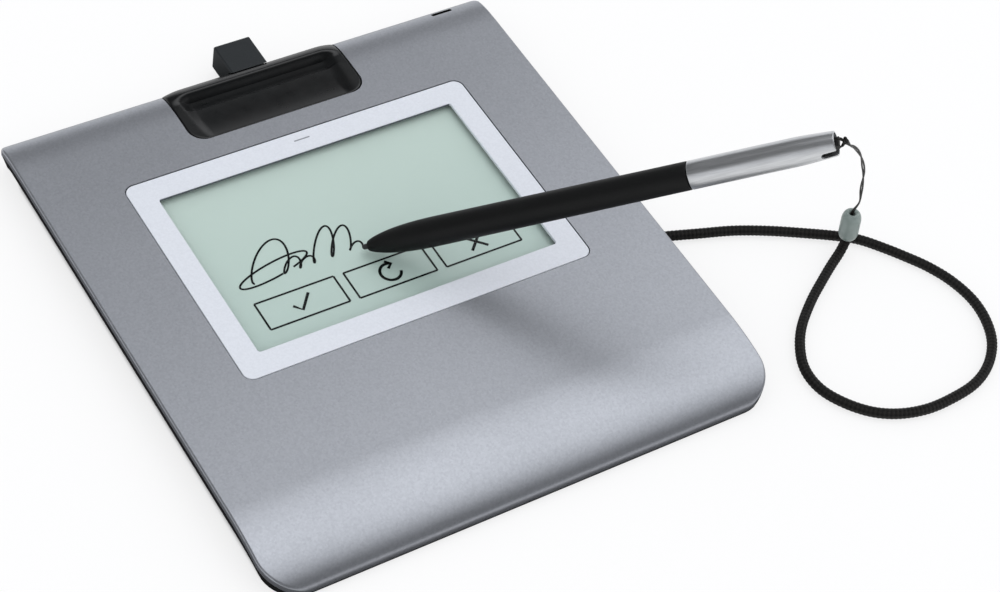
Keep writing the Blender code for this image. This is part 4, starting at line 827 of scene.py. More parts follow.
def cut(target: bpy.types.Object, tool: bpy.types.Object, crease: float = CREASE) -> None:
    """Cuts a tool's shape out of a piece for good, and removes the tool.

    Args:
        target: The piece, whose other modifiers stay live after the cut.
        tool: A closed mesh.
        crease: Edges sharper than this many degrees stay sharp.
    """
    step = target.modifiers.new("cut", "BOOLEAN")
    step.operation = "DIFFERENCE"
    step.solver = "EXACT"
    step.material_mode = "TRANSFER"
    step.object = tool
    kept = [other for other in target.modifiers if other != step]
    for other in kept:
        other.show_viewport = False
    graph = bpy.context.evaluated_depsgraph_get()
    result = bpy.data.meshes.new_from_object(target.evaluated_get(graph), depsgraph=graph)
    for other in kept:
        other.show_viewport = True
    target.modifiers.remove(step)
    result.set_sharp_from_angle(angle=math.radians(crease))
    result.name = target.name
    target.data = result
    bpy.data.objects.remove(tool, do_unlink=True)


def cutter(name: str, first: Array, second: Array, look: Material) -> bpy.types.Object:
    """A straight bar that cuts a piece.

    Args:
        name: Its name.
        first: The closed outline at one end.
        second: The outline at the other end, of as many points.
        look: The material that its cuts show.

    Returns:
        The bar.
    """
    skin = Skin()
    skin.bar(np.stack([first, second]))
    return skin.piece(name, [look], None)


def quarter(steps: int) -> Array:
    """Angles from 0 to a right angle, in even steps."""
    return np.linspace(0.0, math.pi / 2, steps + 1)


def smooth_step(share: Array) -> Array:
    """Eases from 0 to 1: three times the square less twice the cube of the share."""
    held = np.clip(share, 0.0, 1.0)
    return held * held * (3 - 2 * held)


def rounded_rectangle(half_x: float, half_y: float, radius: float, centre: Sequence[float],
                      steps: int = 12) -> Array:
    """Closed outline of a rounded rectangle: a quarter circle about each corner's centre.

    Args:
        half_x: Half the width.
        half_y: Half the depth.
        radius: The corners' radius.
        centre: The middle, in X and Y.
        steps: Steps in each corner.

    Returns:
        Points in X and Y, anticlockwise, with the first again at the end.
    """
    turn = (np.arange(4)[:, None] * math.pi / 2 + quarter(steps)[None, :]).ravel()
    side_x = np.repeat([1, -1, -1, 1], steps + 1)
    side_y = np.repeat([1, 1, -1, -1], steps + 1)
    x = centre[0] + side_x * (half_x - radius) + radius * np.cos(turn)
    y = centre[1] + side_y * (half_y - radius) + radius * np.sin(turn)
    loop = np.stack([x, y], axis=-1)
    return np.concatenate([loop, loop[:1]])


def lathe(profile: Array, steps: int = 64) -> Array:
    """Net of a profile of radius and height turned about the upright axis.

    Each row is a circle: radius times the cosine and sine of the turn, at the profile's height.

    Args:
        profile: Radius and height pairs in order.
        steps: Points round each circle.

    Returns:
        The net, whose last column repeats the first.
    """
    turn = np.linspace(0.0, math.tau, steps + 1)
    radius = profile[:, 0][:, None]
    height = np.broadcast_to(profile[:, 1][:, None], (len(profile), steps + 1))
    return np.stack([radius * np.cos(turn), radius * np.sin(turn), height], axis=-1)


def moved(points: Array, matrix: Matrix) -> Array:
    """Points turned and shifted by a matrix."""
    table = np.array(matrix)
    return points @ table[:3, :3].T + table[:3, 3]


def smooth_curve(route: Sequence[Sequence[float]], spacing: float) -> Array:
    """Evenly spaced points on the smooth curve through a route's points.

    Between two points the curve is the cubic whose slope at each is half the step between its
    neighbours. It is read finely, and then again at even lengths.

    Args:
        route: The points that it passes through.
        spacing: The distance between the points given back.

    Returns:
        The points, one row each.
    """
    knots = np.array(route, float)
    ends = np.concatenate([[2 * knots[0] - knots[1]], knots, [2 * knots[-1] - knots[-2]]])
    before, start, end, after = (ends[shift:len(knots) - 1 + shift, None] for shift in range(4))
    t = np.linspace(0.0, 1.0, 40, endpoint=False)[None, :, None]
    fine = 0.5 * (2 * start + (end - before) * t
                  + (2 * before - 5 * start + 4 * end - after) * t ** 2
                  + (3 * start - before - 3 * end + after) * t ** 3)
    fine = np.concatenate([fine.reshape(-1, 3), knots[-1:]])
    reach = np.concatenate([[0.0], np.cumsum(np.linalg.norm(np.diff(fine, axis=0), axis=1))])
    wanted = np.linspace(0.0, reach[-1], int(round(reach[-1] / spacing)) + 1)
    return np.stack([np.interp(wanted, reach, fine[:, axis]) for axis in range(3)], axis=-1)


def length_of(path: Array) -> float:
    """Length of a line through points."""
    return float(np.linalg.norm(np.diff(path, axis=0), axis=1).sum())


def unit(vectors: Array) -> Array:
    """Vectors made one long."""
    return vectors / np.linalg.norm(vectors, axis=-1, keepdims=True)


def sides_of(path: Array, keel: Sequence[float]) -> tuple[Array, Array]:
    """Two directions square to a path and to each other, at each of its points.

    The first is the keel less its part along the path, made one long, and the second is the
    cross product of the way ahead and the first.

    Args:
        path: Points of the path.
        keel: A direction that the path never runs along.

    Returns:
        The first and the second directions.
    """
    ahead = unit(np.gradient(path, axis=0))
    aim = np.asarray(keel, float)
    first = unit(aim[None, :] - (ahead @ aim)[:, None] * ahead)
    return first, np.cross(ahead, first)


def tube(path: Array, radius: Union[float, Array], keel: Sequence[float], steps: int = 12) -> Array:
    """Net of a tube round a path.

    A point is the path's point plus the radius times the cosine along the first side direction
    and the sine along the second.

    Args:
        path: Points of the centre line.
        radius: One radius, or one for each point of the net.
        keel: A direction that the path never runs along.
        steps: Points round the tube.

    Returns:
        The net, a row at each point of the path, whose last column repeats the first.
    """
    first, second = sides_of(path, keel)
    turn = np.linspace(0.0, math.tau, steps + 1)[None, :, None]
    out = first[:, None, :] * np.cos(turn) + second[:, None, :] * np.sin(turn)
    reach = np.asarray(radius)
    return path[:, None, :] + out * (reach[..., None] if reach.ndim == 2 else reach)


def ring_tube(ring: Array, radius: float, keel: Sequence[float], steps: int = 10) -> Array:
    """Net of a tube round a closed line, whose sides are cross products with the keel.

    Args:
        ring: Points of the line, with the first again at the end.
        radius: The tube's radius.
        keel: A direction that the line never runs along.
        steps: Points round the tube.

    Returns:
        The net, a row at each point of the line.
    """
    ahead = unit(np.gradient(ring, axis=0))
    ahead[[0, -1]] = unit(ahead[0] + ahead[-1])
    first = unit(np.cross(ahead, np.array([keel])))
    second = np.cross(ahead, first)
    turn = np.linspace(0.0, math.tau, steps + 1)[None, :, None]
    return ring[:, None] + radius * (first[:, None] * np.cos(turn) + second[:, None] * np.sin(turn))


def strip(line: Array, width: float, height: float, base: float) -> Array:
    """Net of a flat bar along a line in X and Y: its four edges, offset square to the line.

    Args:
        line: Points of the line.
        width: The bar's width.
        height: Its height.
        base: The height of its underside.

    Returns:
        The net, a row at each point of the line.
    """
    ahead = unit(np.gradient(line, axis=0))
    across = np.stack([-ahead[:, 1], ahead[:, 0]], axis=-1) * width / 2
    left, right = line + across, line - across
    low = np.full((len(line), 1), base)
    high = np.full((len(line), 1), base + height)
    edges = [np.hstack([left, low]), np.hstack([left, high]), np.hstack([right, high]),
             np.hstack([right, low]), np.hstack([left, low])]
    return np.stack(edges, axis=1)


# The pad's shell


@dataclass
class PadShape:
    """The pad's outer sizes, and the surface that its cover and tray follow."""

    width: float = 0.1614
    depth: float = 0.1710
    top: float = 0.0095
    rear_corner: float = 0.0030
    front_corner: float = 0.0110
    roll: float = 0.0050
    roll_run: float = 0.0150
    roll_power: float = 3.0
    curve_run: float = 0.0275
    curve_drop: float = 0.0081
    edge: float = 0.0007
    guard: float = 0.0005
    wall: float = 0.0018
    skirt: float = 0.0023
    lip_clearance: float = 0.0006

    @property
    def half_width(self) -> float:
        """Half the pad's width."""
        return self.width / 2

    @property
    def half_depth(self) -> float:
        """Half the pad's depth."""
        return self.depth / 2

    @property
    def roll_y(self) -> float:
        """Where the rear roll starts."""
        return self.half_depth - self.roll_run

    @property
    def curve_y(self) -> float:
        """Where the front curve starts."""
        return self.curve_run - self.half_depth

    def height(self, y: Array) -> Array:
        """Height of the cover's top at places along the pad.

        The middle is level. The rear falls by one less a root of one less a power of the way
        along its run, the root and the power alike, which starts gently and ends tight. The
        front is a quarter ellipse as long as the curve's run and as high as its drop.

        Args:
            y: The places.

        Returns:
            The heights.
        """
        back = np.clip((y - self.roll_y) / self.roll_run, 0.0, 1.0)
        front = np.clip((self.curve_y - y) / self.curve_run, 0.0, 1.0)
        held = (1.0 - back ** self.roll_power) ** (1.0 / self.roll_power)
        roll_height = self.top - self.roll * (1.0 - held)
        curve_height = self.top - self.curve_drop * (1.0 - np.sqrt(1.0 - front ** 2))
        return np.where(y > self.roll_y, roll_height, curve_height)

    def seam(self, y: Array) -> Array:
        """Height of the cover's lower edge: the skirt's drop below the top, above the lip."""
        return np.maximum(self.height(y) - self.skirt, self.lip_clearance)

    def outline(self, inset: float) -> tuple[Array, Array]:
        """Plan outline of the pad, drawn in by an inset.

        The right half runs from the rear corner's arc down the side to the front corner's arc,
        and the left half mirrors it.

        Args:
            inset: How far inside the pad's edge it runs.

        Returns:
            Points in X and Y with the first again at the end, and how far each faces sideways.
        """
        rear = quarter(10)[::-1]
        front = quarter(20)
        rear_radius = self.rear_corner - inset
        front_radius = self.front_corner - inset
        straight = np.concatenate([
            np.linspace(self.half_depth - self.rear_corner, self.roll_y, 25)[1:],
            [self.roll_y - self.guard, self.curve_y + self.guard],
            self.curve_y - (self.curve_run - self.front_corner) * np.linspace(0.0, 1.0, 23)[:-1],
        ])
        x = np.concatenate([
            self.half_width - self.rear_corner + rear_radius * np.cos(rear),
            np.full(len(straight), self.half_width - inset),
            self.half_width - self.front_corner + front_radius * np.cos(front),
        ])
        y = np.concatenate([
            self.half_depth - self.rear_corner + rear_radius * np.sin(rear),
            straight,
            self.front_corner - self.half_depth - front_radius * np.sin(front),
        ])
        side = np.concatenate([np.cos(rear), np.ones(len(straight)), np.cos(front)])
        right = np.stack([x, y], axis=-1)
        left = right[::-1] * np.array([-1.0, 1.0])
        loop = np.concatenate([right, left, right[:1]])
        return loop, np.concatenate([side, side[::-1], side[:1]])


@dataclass(frozen=True)
class BezelPlan:
    """The bezel's plan outline, which the cover's aperture follows with a gap."""

    half_x: float = 0.05615
    half_y: float = 0.0387
    radius: float = 0.0030
    centre_y: float = 0.01575


@dataclass(frozen=True)
class TrayPlan:
    """The tray's plan outline, open to the rear, which the cover's aperture follows."""

    half: float = 0.0288
    front: float = 0.0626
    radius: float = 0.0050


@dataclass
class Cover:
    """The painted upper shell, with apertures for the display, the tray and the lock."""

    paint: Paintbox
    shape: PadShape
    bezel: BezelPlan
    tray: TrayPlan
    gap: float = 0.0003
    lock_x: float = 0.0669
    lock_width: float = 0.0071
    lock_depth: float = 0.0014
    lock_y: float = 0.08285
    lock_radius: float = 0.0005
    overrun: float = 0.002
    merge: float = 1e-8

    def tray_hole(self) -> Array:
        """Closed plan outline of the tray's aperture, open to the rear, with round front corners.

        Returns:
            Points in X and Y.
        """
        half = self.tray.half + self.gap
        radius = self.tray.radius + self.gap
        front = self.tray.front - self.gap + radius
        turn = quarter(14)
        left = np.stack([radius - half - radius * np.cos(turn), front - radius * np.sin(turn)], -1)
        right = left[::-1] * np.array([-1.0, 1.0])
        rear = self.shape.half_depth + self.overrun
        return np.concatenate([[[half, rear], [-half, rear]], left, right, [[half, rear]]])

    def plate(self, edge: Array) -> tuple[Array, Array]:
        """Triangles of the level and curved top inside the rounded edge, round the bezel.

        Args:
            edge: The plan outline that bounds it, without the repeated point.

        Returns:
            Plan points and triangles.
        """
        count = len(edge)
        plan, gap = self.bezel, self.gap
        hole = rounded_rectangle(plan.half_x + gap, plan.half_y + gap, plan.radius + gap,
                                 (0.0, plan.centre_y), 14)[:-1]
        points = [tuple(point) for point in np.concatenate([edge, hole])]
        loops = [(0, count), (count, len(hole))]
        edges = [
            (start + step, start + (step + 1) % size)
            for start, size in loops for step in range(size)
        ]
        half = count // 2
        edges += [(step, count - 1 - step) for step in range(1, half - 1)]
        corners = [Vector(point) for point in points]
        flat, _, faces, *_ = delaunay_2d_cdt(corners, edges, [], 0, self.merge)
        spots = np.array([tuple(point) for point in flat])
        triangles = np.array(faces)
        middle = np.abs(spots[triangles].mean(axis=1) - np.array([0.0, plan.centre_y]))
        straight = np.array([plan.half_x, plan.half_y]) - plan.radius
        reach = np.maximum(middle - straight, 0.0)
        inside = np.hypot(reach[:, 0], reach[:, 1]) < plan.radius + gap
        return spots, triangles[~inside]

    def walls(self, spots: Array, triangles: Array) -> Array:
        """Quads that join the bezel's aperture to the underside, which is numbered after it.

        Args:
            spots: Plan points of the top.
            triangles: Its triangles.

        Returns:
            Four point numbers for each quad.
        """
        directed = np.concatenate([triangles[:, pair] for pair in ([0, 1], [1, 2], [2, 0])])
        pairs = {(a, b) for a, b in directed.tolist()}
        rim = np.array([(a, b) for a, b in directed.tolist() if (b, a) not in pairs])
        reach = np.abs(spots[rim[:, 0]] - np.array([0.0, self.bezel.centre_y]))
        hole = rim[(reach[:, 0] < self.bezel.half_x + self.overrun)
                   & (reach[:, 1] < self.bezel.half_y + self.overrun)]
        count = len(spots)
        return np.stack([hole[:, 0], hole[:, 1], hole[:, 1] + count, hole[:, 0] + count], axis=-1)

    def edge_net(self) -> Array:
        """Net round the rim: over the rounded edge, down the skirt, under it and up inside.

        On the rounded edge a ring at an angle is drawn in by the radius less its cosine part,
        and lies below the long profile by the radius less its sine part, sideways only.

        Returns:
            The net, a row for each ring.
        """
        shape = self.shape
        turns = quarter(9)[::-1]
        rings = []
        for turn in turns:
            loop, side = shape.outline(shape.edge * (1.0 - math.cos(turn)))
            drop = shape.edge * (1.0 - math.sin(turn)) * side
            rings.append(np.column_stack([loop, shape.height(loop[:, 1]) - drop]))
        outer, _ = shape.outline(0.0)
        seam = shape.seam(outer[:, 1])
        chamfer = self.gap / 2
        rings.append(np.column_stack([outer, seam + chamfer]))
        rings.append(np.column_stack([shape.outline(chamfer)[0], seam]))
        rings.append(np.column_stack([shape.outline(shape.wall)[0], seam]))
        inner, _ = shape.outline(shape.edge)
        rings.append(np.column_stack([inner, shape.height(inner[:, 1]) - shape.wall]))
        return np.stack(rings)

    def build(self) -> None:
        """Builds the cover and cuts its lock slot."""
        shape = self.shape
        skin = Skin()
        edge = shape.outline(shape.edge)[0][:-1]
        spots, triangles = self.plate(edge)
        height = shape.height(spots[:, 1])
        top = np.column_stack([spots, height])
        under = np.column_stack([spots, height - shape.wall])
        faces = triangles.tolist() + (triangles[:, ::-1] + len(spots)).tolist()
        skin.add(np.concatenate([top, under]), np.array(faces))
        skin.faces += self.walls(spots, triangles).tolist()
        skin.looks += [0] * (len(skin.faces) - len(skin.looks))
        skin.grid(self.edge_net())
        cover = skin.piece("cover_shell", [self.paint[SILVER_PAINT]], Body.PAD, ["top_cover"],
                           weighted=True)
        slot = rounded_rectangle(self.lock_width / 2, self.lock_depth / 2, self.lock_radius,
                                 (self.lock_x, self.lock_y), 6)
        rows = [np.column_stack([slot, np.full(len(slot), z)])
                for z in (shape.top - shape.roll, shape.top + self.overrun)]
        cut(cover, cutter("lock_bar", *rows, self.paint[INNER_BLACK]))
        hole = self.tray_hole()
        rows = [np.column_stack([hole, np.full(len(hole), z)])
                for z in (-self.overrun, shape.top + self.overrun)]
        cut(cover, cutter("tray_bar", *rows, self.paint[SILVER_PAINT]))


@dataclass
class Display:
    """The light bezel and the marks that the display shows."""

    paint: Paintbox
    shape: PadShape
    plan: BezelPlan
    window_x: float = 0.0486
    window_y: float = 0.0308
    window_radius: float = 0.0008
    lip: float = 0.0009
    chamfer: float = 0.00025
    flange: float = 0.0015
    flange_top: float = 0.0074
    flange_base: float = 0.0066
    pocket_x: float = 0.0523
    pocket_y: float = 0.0345
    panel_top: float = 0.0069
    dot_height: float = 0.00006
    line_width: float = 0.00058
    sign_share: float = 1.5
    stroke_share: float = 1.05
    mark_places: tuple[float, ...] = (-0.0022, 0.0004, 0.0029)
    mark_y: float = 0.0513
    mark_width: float = 0.00045
    mark_height: float = 0.00002
    boxes: tuple[tuple[float, float, float, float], ...] = (
        (-0.0409, -0.0157, -0.0079, 0.0022),
        (-0.0126, 0.0127, -0.0081, 0.0020),
        (0.0158, 0.0411, -0.0082, 0.0018),
    )
    icon: float = 0.0027
    ring_share: float = 1.15
    slant: float = 0.55
    tail_centre: tuple[float, float] = (-0.0300, 0.0112)
    tail_wide: tuple[float, float] = (0.0115, 0.0022)
    tail_high: tuple[float, float] = (0.0016, 0.0030)
    tail_turn: tuple[float, float] = (-50.0, 290.0)
    stroke_start: tuple[float, float] = (-0.0372, 0.0088)
    loops: tuple[tuple[float, float, float], ...] = (
        (0.0128, 0.0095, 0.0032),
        (0.0046, 0.0050, 0.0012),
        (0.0030, 0.0046, 0.0010),
        (0.0112, 0.0058, 0.0016),
        (0.0094, 0.0056, 0.0015),
        (0.0022, 0.0044, 0.0006),
    )

    def loop(self, half_x: float, half_y: float, radius: float, height: float) -> Array:
        """A rounded rectangle about the display's centre, at a height."""
        outline = rounded_rectangle(half_x, half_y, radius, (0.0, self.plan.centre_y), 14)
        return np.column_stack([outline, np.full(len(outline), height)])

    def build_bezel(self) -> None:
        """The frame: a flange, an outer wall, rounded top edges, a lip and the glass's pocket.

        The window's front and rear walls carry a painted shade, and the side walls are as light as
        the frame.
        """
        top = self.shape.top
        half_x, half_y, radius = self.plan.half_x, self.plan.half_y, self.plan.radius
        turns = quarter(4)
        rings = [
            self.loop(half_x + self.flange, half_y + self.flange, radius + self.flange, height)
            for height in (self.flange_base, self.flange_top)
        ]
        rings.append(self.loop(half_x, half_y, radius, self.flange_top))
        for turn in turns:
            inset = self.chamfer * (1 - math.cos(turn))
            rings.append(self.loop(half_x - inset, half_y - inset, radius - inset,
                                   top - self.chamfer * (1 - math.sin(turn))))
        for turn in turns[::-1]:
            grow = self.chamfer * (1 - math.cos(turn))
            rings.append(self.loop(self.window_x + grow, self.window_y + grow,
                                   self.window_radius + grow,
                                   top - self.chamfer * (1 - math.sin(turn))))
        inner = [
            rings[-1],
            self.loop(self.window_x, self.window_y, self.window_radius, top - self.lip),
            self.loop(self.pocket_x, self.pocket_y, self.window_radius, top - self.lip),
            self.loop(self.pocket_x, self.pocket_y, self.window_radius, self.flange_base),
            rings[0],
        ]
        skin = Skin()
        skin.grid(np.stack(rings))
        # The window's inner walls get the painted shade; their side walls are set back to the
        # frame's colour below.
        skin.grid(np.stack(inner), look=1)
        frame = skin.piece("bezel_frame", [self.paint[LIGHT_ABS], self.paint[PAINTED_WALL_SHADE]], Body.PAD,
                           ["display_bezel"], weighted=True)
        faces = frame.data.polygons
        ways = np.zeros(3 * len(faces))
        faces.foreach_get("normal", ways)
        looks = np.zeros(len(faces), np.int32)
        faces.foreach_get("material_index", looks)
        # Side walls, which face across the pad, lose the painted shade.
        looks[np.abs(ways[0::3]) > np.abs(ways[1::3])] = 0
        faces.foreach_set("material_index", looks)

        mark = Skin()
        line = np.array([[place, self.mark_y] for place in self.mark_places])
        mark.bar(strip(line, self.mark_width, self.mark_height, top))
        mark.piece("bezel_mark", [self.paint[MARK_INK]], Body.PAD)

    def flourish(self) -> list[Array]:
        """A made-up pen stroke of no letters that ends where the nib stands.

        Each loop steps along the base line less a sine, and rises by one less a cosine. Below
        them one stroke sweeps out to the left and back under.

        Returns:
            The lines, as points in X and Y.
        """
        strokes = []
        start = np.array(self.stroke_start)
        slant = np.array([[1.0, 0.0], [self.slant, 1.0]])
        turn = np.linspace(0.0, 1.0, 60)
        for height, pitch, swing in self.loops:
            loop = np.stack([
                pitch * turn - swing * np.sin(math.tau * turn),
                height * (1.0 - np.cos(math.tau * turn)) / 2,
            ], -1) @ slant
            strokes.append(start + loop)
            start = start + np.array([pitch, 0.0])
        wave = np.concatenate([strokes[0], *[stroke[1:] for stroke in strokes[1:]]])
        sweep = np.linspace(*np.radians(self.tail_turn), 120)
        tail = np.stack([
            centre + cosine * np.cos(sweep) + sine * np.sin(sweep)
            for centre, (cosine, sine) in zip(self.tail_centre, (self.tail_wide, self.tail_high))
        ], -1)
        return [wave, tail]

    def icons(self) -> list[Array]:
        """A tick, a turning arrow and a cross, one in the middle of each field.

        Returns:
            The lines, as points in X and Y.
        """
        centres = [np.array([(box[0] + box[1]) / 2, (box[2] + box[3]) / 2]) for box in self.boxes]
        size = self.icon
        tick = centres[0] + size * np.array([[-1.1, 0.0], [-0.35, -0.85], [1.2, 1.0]])
        turn = np.linspace(math.radians(60), math.radians(345), 48)
        wide = size * self.ring_share
        ring = centres[1] + wide * np.stack([np.cos(turn), np.sin(turn)], -1)
        head = centres[1] + wide * np.array([[0.05, 1.32], [0.52, 0.86], [0.0, 0.42]])
        cross = [centres[2] + size * np.array([[-1.0, way], [1.0, -way]]) for way in (-1.0, 1.0)]
        return [tick, ring, head, *cross]

    def build_marks(self) -> None:
        """The dark dots of the display: three outlined fields with signs, and the pen stroke."""
        frames = []
        for left, right, front, rear in self.boxes:
            corners = [(left, front), (right, front), (right, rear), (left, rear), (left, front)]
            frames += [np.linspace(*pair, 3) for pair in zip(corners, corners[1:])]
        skin = Skin()
        base = self.panel_top + self.dot_height / 4
        for lines, share in ((frames, 1.0), (self.icons(), self.sign_share),
                             (self.flourish(), self.stroke_share)):
            for line in lines:
                skin.bar(strip(line, self.line_width * share, self.dot_height, base))
        skin.piece("display_marks", [self.paint[LCD_SEGMENT]], Body.PAD,
                   weld=1e-8)


@dataclass
class PenTray:
    """The smooth black insert with the groove that the pen is laid in."""

    paint: Paintbox
    shape: PadShape
    plan: TrayPlan
    proud: float = 0.0007
    proud_fade: float = 0.0062
    roll: float = 0.0050
    base: float = 0.0052
    rear_wall: float = 0.0018
    front_drop: float = 0.00032
    hollow: float = 0.0016
    hollow_power: float = 2.2
    crease_back: float = 0.0108
    step: float = 0.00022
    step_run: float = 0.0004
    fall: float = 0.00045
    wall_start: float = 0.0070
    wall_run: float = 0.0026
    wall_height: float = 0.0034
    end_start: float = 0.0218
    end_run: float = 0.0062
    edge: float = 0.0005
    blend: float = 0.0005

    @property
    def rear(self) -> float:
        """The tray's rear edge, proud of the pad's."""
        return self.shape.half_depth + self.proud

    @property
    def roll_y(self) -> float:
        """Where the lip's roll starts."""
        return self.shape.half_depth - self.roll

    def lip(self, x: Array) -> Array:
        """How far the rear lip stands proud, which fades by a quarter ellipse to its ends."""
        share = np.clip((np.abs(x) - self.plan.half + self.proud_fade) / self.proud_fade, 0.0, 1.0)
        return self.proud * np.sqrt(1.0 - share ** 2)

    def body_height(self, x: Array, y: Array) -> Array:
        """Height without the groove.

        In the middle it is level, then goes up on to a round lip proud of the cover. Towards
        its ends it turns into the cover's own long profile.

        Args:
            x: Places across the tray.
            y: Places along it.

        Returns:
            The heights.
        """
        top = self.shape.top
        proud = self.lip(x)
        rise = smooth_step((y - self.roll_y) / self.wall_run + 1.0)
        back = np.clip(y - self.roll_y, 0.0, self.roll + proud)
        rolled = top - self.roll + np.sqrt((self.roll + proud) ** 2 - back ** 2)
        crown = np.where(y > self.roll_y, rolled, top + proud * rise)
        cover = self.shape.height(y)
        return cover + (crown - cover) * proud / self.proud

    def groove_depth(self, y: Array) -> Array:
        """Depth of the groove below the level top.

        From the front it hollows out by a power curve, steps down at the crease, falls a little
        more, and climbs the lip's wall by a sine from a sharp foot.

        Args:
            y: Places along the tray.

        Returns:
            The depths.
        """
        crease = self.rear - self.crease_back
        share = np.clip((y - self.plan.front) / (crease - self.plan.front), 0.0, 1.0)
        hollow = self.front_drop + (self.hollow - self.front_drop) * (
            1.0 - (1.0 - share) ** self.hollow_power)
        fall = self.fall * np.clip((y - crease) / (self.crease_back - self.wall_start), 0.0, 1.0)
        climb = np.clip((y - self.rear + self.wall_start) / self.wall_run, 0.0, 1.0)
        wall = np.sin(climb * math.pi / 2)
        return (hollow + self.step * smooth_step((y - crease) / self.step_run) + fall
                - self.wall_height * wall)

    def top_height(self, x: Array, y: Array) -> Array:
        """Height of the tray's top.

        The groove's depth fades by a smooth step towards its ends. The surface is the lower of
        the body and the groove, joined by a soft minimum, and its rim is rounded off.

        Args:
            x: Places across the tray.
            y: Places along it.

        Returns:
            The heights.
        """
        share = 1.0 - smooth_step((np.abs(x) - self.end_start) / self.end_run)
        body = self.body_height(x, y)
        groove = body + self.blend - (
            self.groove_depth(y) + body - self.shape.top + self.blend) * share
        gap = np.abs(body - groove)
        soft = np.maximum(self.blend - gap, 0.0) ** 2 / (4 * self.blend)
        return np.minimum(body, groove) - soft - self.edge_drop(x, y)

    def edge_drop(self, x: Array, y: Array) -> Array:
        """How far the rounded rim falls away, a quarter circle by the distance to the outline.

        Args:
            x: Places across the tray.
            y: Places along it.

        Returns:
            The falls.
        """
        corner_x = np.abs(x) - (self.plan.half - self.plan.radius)
        corner_y = self.plan.front + self.plan.radius - y
        corner = self.plan.radius - np.hypot(np.maximum(corner_x, 0.0), np.maximum(corner_y, 0.0))
        side = np.minimum(self.plan.half - np.abs(x), corner)
        inside = np.clip(self.edge - side, 0.0, self.edge)
        return self.edge - np.sqrt(self.edge ** 2 - inside ** 2)

    def columns(self) -> Array:
        """Places across the tray, close together at its rounded rim and groove ends.

        Returns:
            The places, from right to left.
        """
        rim = self.plan.half - self.edge * (1 - np.cos(quarter(6)))
        ends = np.linspace(self.plan.half - self.edge, self.end_start, 48)
        side = np.concatenate([rim, ends[1:]])
        middle = np.linspace(side[-1], -side[-1], 20)[1:-1]
        return np.concatenate([side, middle, -side[::-1]])

    def net(self) -> Array:
        """Net of the tray: each row goes round a cross section, over the top and back below.

        Returns:
            The net, a row for each place across.
        """
        x = self.columns()[:, None]
        reach = np.clip(np.abs(x) - (self.plan.half - self.plan.radius), 0.0, self.plan.radius)
        start = self.plan.front + self.plan.radius - np.sqrt(self.plan.radius ** 2 - reach ** 2)
        turn = quarter(6)[None, :]
        rim_y = start + self.edge * (1 - np.cos(turn))
        share = np.linspace(0.0, 1.0, 41)[None, 1:]
        crease = self.rear - self.crease_back
        foot = self.rear - self.wall_start
        first = start + self.edge
        level_y = np.concatenate([
            first + share * (crease - first),
            np.broadcast_to(crease + share * (foot - crease), (len(x), share.shape[1])),
            np.broadcast_to(foot + share * (self.roll_y - foot), (len(x), share.shape[1])),
        ], axis=1)
        back = quarter(30)[None, 1:]
        back_y = self.roll_y + (self.roll + self.lip(x)) * np.sin(back)
        y = np.concatenate([rim_y, level_y, back_y], axis=1)
        wide = np.broadcast_to(x, y.shape)
        top = np.stack([wide, y, self.top_height(wide, y)], axis=-1)
        low = np.full_like(x, self.shape.top - self.shape.roll - self.shape.skirt)
        base = np.full_like(x, self.base)
        inner = np.full_like(x, self.rear - self.rear_wall)
        under = [(y[:, -1:], low), (inner, low), (inner, base), (start, base)]
        closing = [np.stack([x, place, height], axis=-1) for place, height in under]
        return np.concatenate([top, *closing, top[:, :1]], axis=1)

    def build(self) -> None:
        """Builds the tray with both of its ends closed."""
        skin = Skin()
        skin.bar(self.net())
        skin.piece("tray_insert", [self.paint[TRAY_BLACK]], Body.PAD, ["pen_tray"],
                   crease=40.0)


# The pen and its tether


